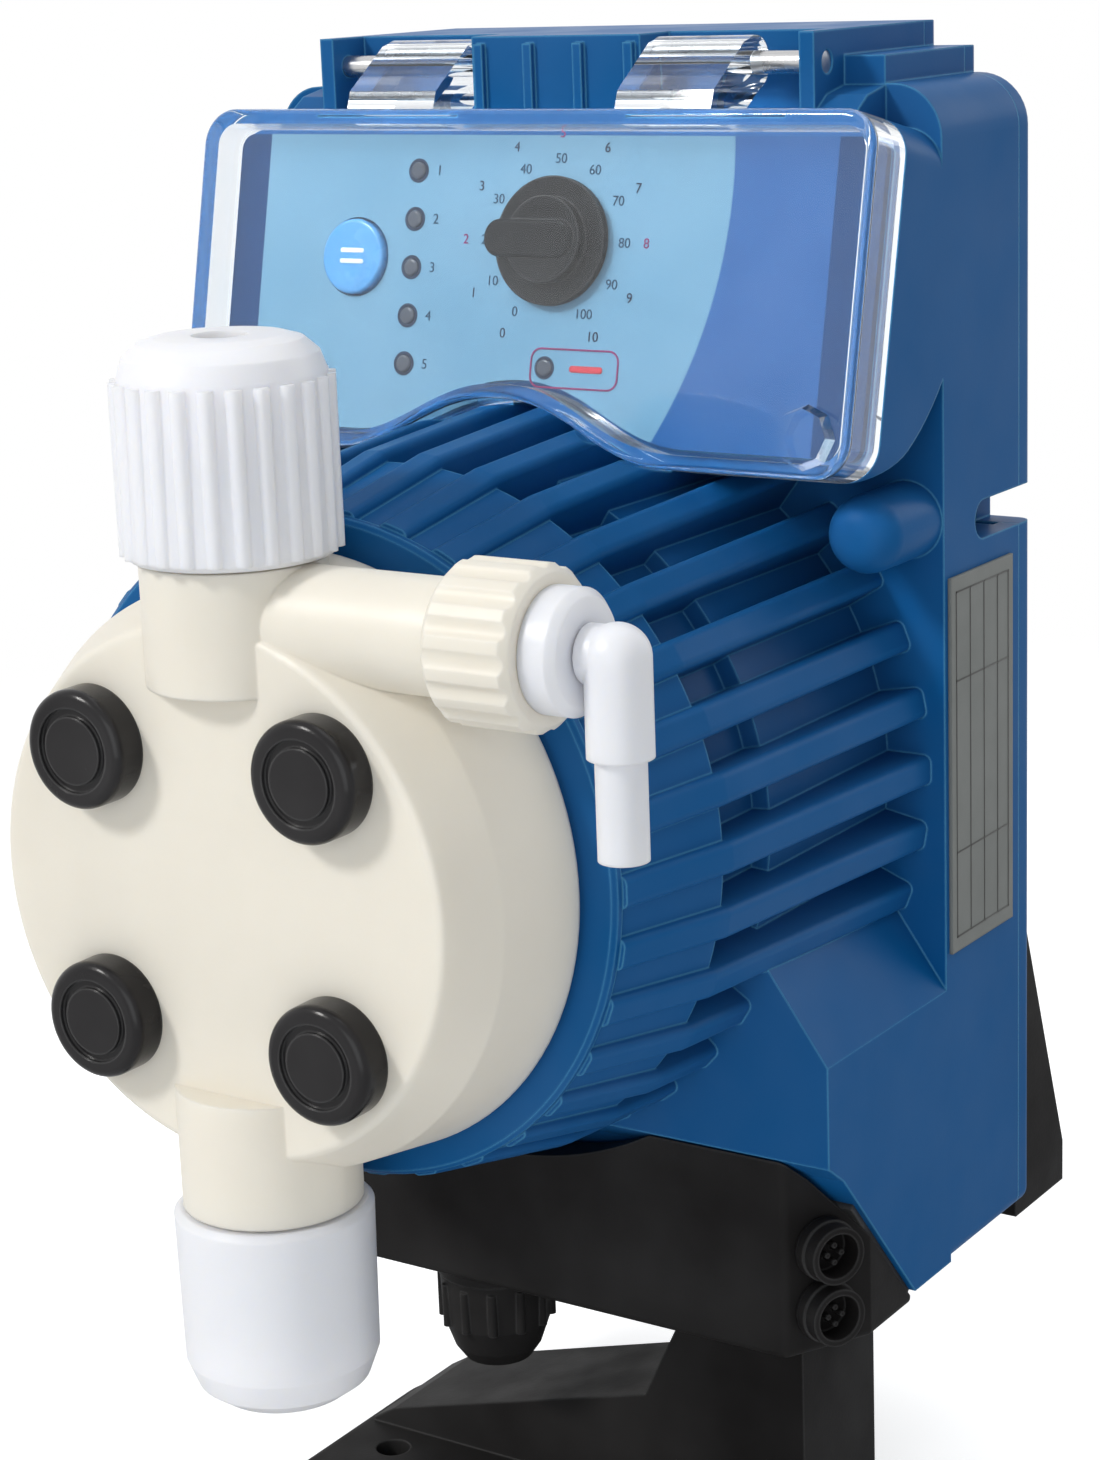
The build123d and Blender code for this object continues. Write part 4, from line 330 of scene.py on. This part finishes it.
def panel_material():
    """Printed film on the panel: a pale field with a deeper field at the right, split by one large arc, and
    a darker band of painted shade along both sides, for the shade of the clear cover's walls.
    """
    material, tree, shader, _ = new_material("panel_film")
    place = own_place(tree)
    centre = tuple(on_panel(ARC_X, ARC_S, PANEL_DEPTH))
    offset = add_node(tree, "VectorMath", {0: place}, {1: centre}, operation="SUBTRACT")
    length = add_node(tree, "VectorMath", {0: offset.outputs["Vector"]}, operation="LENGTH")
    split = mapped(tree, length.outputs["Value"], ARC_INNER * MM, ARC_OUTER * MM)
    cloud = spread(tree, noise(tree, FILM_CLOUD_SCALE, 3), 0, 1)
    pale = mixed(tree, cloud, darker(PANEL_PALE, 0.95), lighter(PANEL_PALE, 0.03))
    deep = mixed(tree, cloud, darker(PANEL_DEEP, 0.93), lighter(PANEL_DEEP, 0.03))
    tone = mixed(tree, split, pale, deep)
    # Painted shade: a darker band along both sides of the panel, by the clear cover's walls
    across = add_node(tree, "SeparateXYZ", {"Vector": place}).outputs["X"]
    aside = add_node(tree, "Math", {0: across}, operation="ABSOLUTE").outputs["Value"]
    side_shade = mapped(tree, aside, SIDE_SHADE_INNER * MM, SIDE_SHADE_OUTER * MM)
    tree.links.new(mixed(tree, side_shade, tone, PANEL_SIDE_SHADE), shader.inputs["Base Color"])
    uneven = spread(tree, noise(tree, FILM_GLOSS_SCALE, 3), *FILM_ROUGHNESS)
    tree.links.new(uneven, shader.inputs["Roughness"])
    shader.inputs["Specular IOR Level"].default_value = FILM_GLOSS
    bumped(tree, shader, [(noise(tree, FILM_GRAIN_SCALE, 2), STREAK_STRENGTH, STREAK_DEPTH)])
    return material


# ------------------------------------------------------------------ a material for each slot of the record

materials = {
    # The casing's pale light-blue edges are a painted highlight
    "blue_plastic": moulded(
        "casing_blue", BLUE, rough=(0.30, 0.42), edge_wear_and_highlight=0.75, gloss=0.05, dust=0.005, edge_colour=BLUE_EDGE_HIGHLIGHT
    ),
    "black_plastic": moulded(
        "black_moulding", BLACK, rough=(0.42, 0.58), grain=1800, grain_depth=0.00006, gloss=0.06, dust=0.003
    ),
    "black_cap": moulded(
        "black_cap", CAP_BLACK, rough=(0.16, 0.28), edge_wear_and_highlight=0.12, dust=0.005, coat=0.08, gloss=0.2
    ),
    "cream_plastic": moulded(
        "cream_polymer", CREAM, rough=(0.36, 0.50), subsurface=0.35, radius=0.005, edge_wear_and_highlight=0.2, dust=0.03
    ),
    "white_plastic": moulded(
        "natural_polymer", NATURAL, rough=(0.30, 0.44), subsurface=0.6, radius=0.007, edge_wear_and_highlight=0.2, dust=0.02
    ),
    "clear_plastic": clear("clear_cover_plastic"),
    "button_blue": moulded("button_blue", BUTTON_BLUE, rough=(0.2, 0.3), coat=0.5),
    "lamp_plastic": moulded("lamp_dark", LAMP_DARK, rough=(0.1, 0.2), coat=0.6),
    "label_film": moulded("label_film", LABEL_GREY, rough=(0.35, 0.5), grain=900, edge_wear_and_highlight=0.05, gloss=0.15),
    "board_green": moulded("board_green", BOARD_GREEN, rough=(0.3, 0.4)),
    "component_black": moulded("component_black", COMPONENT_BLACK, rough=(0.4, 0.55)),
    "steel": metal("machined_steel", STEEL),
    "aluminium": metal("machined_aluminium", ALUMINIUM),
    "brass": metal("machined_brass", BRASS),
    "coil_copper": metal("enamelled_copper", COPPER, rough=(0.25, 0.4), stretch=(1, 200, 1)),
    "black_rubber": moulded(
        "moulded_rubber", RUBBER_BLACK, rough=(0.6, 0.75), grain=1500, grain_depth=0.00008, edge_wear_and_highlight=0.03
    ),
    "diaphragm_white": moulded("diaphragm_white", DIAPHRAGM_WHITE, rough=(0.3, 0.4), subsurface=0.2),
    "ceramic": moulded("ceramic", CERAMIC_WHITE, rough=(0.08, 0.16), coat=0.5),
    "panel_print": panel_material(),
}

for entry in frame["record"]["subparts"]:
    node = nodes[entry["node"]]
    node.data.materials.clear()
    node.data.materials.append(materials[entry["material_slot"]])
knob_black = moulded("knob_black", KNOB_BLACK, rough=(0.24, 0.36), edge_wear_and_highlight=0.12, dust=0.002, gloss=0.06)
nodes["rate_knob"].data.materials[0] = knob_black


def ink(name, colour):
    """Print on the panel, which hardly shines behind the clear cover."""
    return moulded(name, colour, rough=(0.4, 0.5), gloss=0.04, dust=0.005)


ink_dark = ink("ink_dark", INK_DARK)
ink_teal = ink("ink_teal", INK_TEAL)
ink_rose = ink("ink_rose", INK_ROSE)
ink_red = ink("ink_red", INK_RED)
ink_white = ink("ink_white", INK_WHITE)
rule_ink = moulded("rule_ink", INK_RULE, rough=(0.4, 0.5))

# ------------------------------------------------------------------ printed marks on the panel


def add_piece(name, data, place, material, body):
    """A piece from its curve, in its place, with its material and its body."""
    piece = bpy.data.objects.new(name, data)
    bpy.context.collection.objects.link(piece)
    piece.matrix_world = place
    piece.data.materials.clear()
    piece.data.materials.append(material)
    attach(piece, body)


def printed(name, words, x, s, size, material):
    """Printed figures on the panel."""
    curve = bpy.data.curves.new(name, "FONT")
    curve.body = words
    curve.size = size * MM
    curve.align_x = "CENTER"
    curve.align_y = "CENTER"
    curve.extrude = TEXT_EXTRUDE * MM
    place = Matrix.Translation(on_panel(x, s, PRINT_DEPTH)) @ PANEL_TURN.to_4x4()
    add_piece(name, curve, place, material, "casing")


def flat_curve(name, outlines):
    """A thin flat shape from outlines in millimetres; a second outline is the first one's hole."""
    curve = bpy.data.curves.new(name, "CURVE")
    curve.dimensions = "2D"
    curve.fill_mode = "BOTH"
    curve.extrude = PRINT_THICKNESS / 2 * MM
    for points in outlines:
        spline = curve.splines.new("POLY")
        spline.points.add(len(points) - 1)
        for target, (px, py) in zip(spline.points, points):
            target.co = (px * MM, py * MM, 0, 1)
        spline.use_cyclic_u = True
    return curve


def plate(name, outlines, x, s, material, n=PRINT_DEPTH, body="casing"):
    """A thin flat shape on the panel, or on the button."""
    place = Matrix.Translation(on_panel(x, s, n)) @ PANEL_TURN.to_4x4()
    add_piece(name, flat_curve(name, outlines), place, material, body)


def circle(radius, count=48):
    return [(radius * cos(2 * pi * i / count), radius * sin(2 * pi * i / count)) for i in range(count)]


def box_outline(half_x, half_y, corner, count=6):
    """A rounded oblong."""
    points = []
    for quarter, (sx, sy) in enumerate(((1, 1), (-1, 1), (-1, -1), (1, -1))):
        for i in range(count + 1):
            angle = (quarter + i / count) * pi / 2
            x = sx * (half_x - corner) + corner * cos(angle)
            y = sy * (half_y - corner) + corner * sin(angle)
            points.append((x, y))
    return points


# Two scales round the knob: the pointer's travel is 300 degrees, from lower left to lower right
for i in range(SCALE_COUNT):
    angle = radians(SCALE_START - SCALE_STEP * i)
    inner_x, inner_s = KNOB_X + SCALE_INNER * cos(angle), KNOB_S + SCALE_INNER * sin(angle)
    outer_x, outer_s = KNOB_X + SCALE_OUTER * cos(angle), KNOB_S + SCALE_OUTER * sin(angle)
    printed(f"scale_inner_{i}", str(10 * i), inner_x, inner_s, SCALE_TEXT, ink_teal)
    printed(f"scale_outer_{i}", str(i), outer_x, outer_s, SCALE_TEXT, ink_rose if i % 3 == 2 else ink_dark)
for i in range(LAMP_COUNT):
    s = LAMP_TOP - LAMP_PITCH * i
    printed(f"lamp_figure_{i}", str(i + 1), LAMP_FIGURE_X, s, LAMP_TEXT, ink_teal)
    plate(f"lamp_ring_{i}", [circle(LAMP_RING), circle(LAMP_HOLE)], LAMP_X, s, ink_dark)
plate("alarm_ring", [circle(ALARM_RING), circle(LAMP_HOLE)], KNOB_X, ALARM_S, ink_dark)
alarm_frame_hole = [length - ALARM_FRAME_LINE for length in ALARM_FRAME]
alarm_frame = [box_outline(*ALARM_FRAME), box_outline(*alarm_frame_hole)]
plate("alarm_frame", alarm_frame, ALARM_FRAME_X, ALARM_S, ink_rose)
plate("alarm_bar", [box_outline(*ALARM_BAR)], ALARM_BAR_X, ALARM_S, ink_red)
for name, s in BUTTON_MARKS.items():
    mark = [box_outline(*BUTTON_MARK)]
    plate(name, mark, BUTTON_X, s, ink_white, n=BUTTON_FACE, body="panel_button")

# ------------------------------------------------------------------ rating plate: ruled, with empty fields

PLATE_FACE = 54.04
PLATE_FRONT, PLATE_BACK = 37.4, 53.6
PLATE_LOW, PLATE_HIGH = 92.0, 140.4
PLATE_RULES = (37.4, 41.6, 45.8, 50.0, 53.4)
PLATE_CROSSES = (92.0, 104.0, 128.0, 140.2)
RULE_WIDTH = 0.22
SIDE_TURN = Matrix((Vector((0, 1, 0)), Vector((0, 0, 1)), Vector((1, 0, 0)))).transposed()


def side_mark(name, y0, y1, z0, z1):
    """A thin mark on the rating plate, between two corners in millimetres."""
    curve = flat_curve(name, [((y0, z0), (y1, z0), (y1, z1), (y0, z1))])
    place = Matrix.Translation(Vector((PLATE_FACE, 0, 0)) * MM) @ SIDE_TURN.to_4x4()
    add_piece(name, curve, place, rule_ink, "casing")


for i, y in enumerate(PLATE_RULES):
    side_mark(f"plate_rule_{i}", y, y + RULE_WIDTH, PLATE_LOW, PLATE_HIGH)
for i, z in enumerate(PLATE_CROSSES):
    side_mark(f"plate_cross_{i}", PLATE_FRONT, PLATE_BACK, z, z + RULE_WIDTH)

# ------------------------------------------------------------------ floor

FLOOR_HALF = 6.0
FLOOR_GREY = 0.86
FLOOR_ROUGHNESS = 0.9
FLOOR_GLOW = 0.62
FLOOR_FADE = (0.22, 0.60)

floor_mesh = bpy.data.meshes.new("floor")
corners = [(x * FLOOR_HALF, y * FLOOR_HALF, 0) for x, y in ((-1, -1), (1, -1), (1, 1), (-1, 1))]
floor_mesh.from_pydata(corners, [], [(0, 1, 2, 3)])
floor = bpy.data.objects.new("floor", floor_mesh)
bpy.context.collection.objects.link(floor)
floor_material, floor_tree, floor_shader, floor_output = new_material("floor_white")
floor_shader.inputs["Base Color"].default_value = (FLOOR_GREY, FLOOR_GREY, FLOOR_GREY, 1)
floor_shader.inputs["Roughness"].default_value = FLOOR_ROUGHNESS
floor_shader.inputs["Emission Color"].default_value = (1, 1, 1, 1)
seen = add_node(floor_tree, "LightPath").outputs["Is Camera Ray"]
glow = add_node(floor_tree, "Math", {0: seen}, {1: FLOOR_GLOW}, operation="MULTIPLY")
floor_tree.links.new(glow.outputs["Value"], floor_shader.inputs["Emission Strength"])
# The floor fades out round the part, so that no horizon shows
away = add_node(floor_tree, "VectorMath", {0: own_place(floor_tree)}, operation="LENGTH").outputs["Value"]
open_air = add_node(floor_tree, "BsdfTransparent").outputs["BSDF"]
fade = mapped(floor_tree, away, *FLOOR_FADE)
floor_surface = mixed_shader(floor_tree, fade, floor_shader.outputs["BSDF"], open_air)
floor_tree.links.new(floor_surface, floor_output.inputs["Surface"])
floor_mesh.materials.append(floor_material)

# ------------------------------------------------------------------ light

SKY_COLOUR = (0.92, 0.96, 1.0)
SKY_STRENGTH = 0.34
LIT_POINT = (0, 0.0, 0.12)

world = bpy.data.worlds.new("studio")
bpy.context.scene.world = world
world.use_nodes = True
sky = world.node_tree
sky.nodes.clear()
sky_output = add_node(sky, "OutputWorld")
soft = add_node(sky, "Background", values={"Color": (*SKY_COLOUR, 1), "Strength": SKY_STRENGTH})
white = add_node(sky, "Background", values={"Color": (1, 1, 1, 1), "Strength": 1.0})
rays = add_node(sky, "LightPath").outputs
seen = larger(sky, larger(sky, rays["Is Camera Ray"], rays["Is Transmission Ray"]), rays["Is Glossy Ray"])
backdrop = mixed_shader(sky, seen, soft.outputs["Background"], white.outputs["Background"])
sky.links.new(backdrop, sky_output.inputs["Surface"])


def lamp(name, place, size, power, colour=(1, 1, 1)):
    """A soft square lamp that points at the middle of the part."""
    data = bpy.data.lights.new(name, "AREA")
    data.size = size
    data.energy = power
    data.color = colour
    thing = bpy.data.objects.new(name, data)
    bpy.context.collection.objects.link(thing)
    thing.location = place
    thing.rotation_mode = "QUATERNION"
    thing.rotation_quaternion = (Vector(LIT_POINT) - Vector(place)).to_track_quat("-Z", "Y")


lamp("key", (-0.52, -0.86, 0.92), size=0.20, power=8.4, colour=(1.0, 0.98, 0.95))
lamp("fill", (0.45, -1.05, 0.30), size=0.9, power=3.8, colour=(0.95, 0.98, 1.0))
lamp("top", (0.20, 0.20, 1.10), size=0.8, power=2.6)
lamp("back", (0.50, 0.90, 0.60), size=0.6, power=2.0)

# ------------------------------------------------------------------ camera, solved from the photograph

CAMERA_PLACE = (0.23417, -0.32774, 0.22717)
AZIMUTH, ELEVATION, ROLL = radians(33.98), radians(14.4), radians(-2.183)
SENSOR_WIDTH = 36
LENS = 76.41
CLIP = (0.01, 50)

camera_data = bpy.data.cameras.new("camera")
camera = bpy.data.objects.new("camera", camera_data)
bpy.context.collection.objects.link(camera)
forward = Vector((-sin(AZIMUTH) * cos(ELEVATION), cos(AZIMUTH) * cos(ELEVATION), -sin(ELEVATION)))
level = Vector((cos(AZIMUTH), sin(AZIMUTH), 0))
upright = level.cross(forward)
right = level * cos(ROLL) + upright * sin(ROLL)
up = upright * cos(ROLL) - level * sin(ROLL)
turn = Matrix((right, up, -forward)).transposed().to_4x4()
camera.matrix_world = Matrix.Translation(CAMERA_PLACE) @ turn
camera_data.sensor_width = SENSOR_WIDTH
camera_data.lens = LENS
camera_data.clip_start, camera_data.clip_end = CLIP
bpy.context.scene.camera = camera
bpy.context.scene.view_settings.view_transform = "Standard"
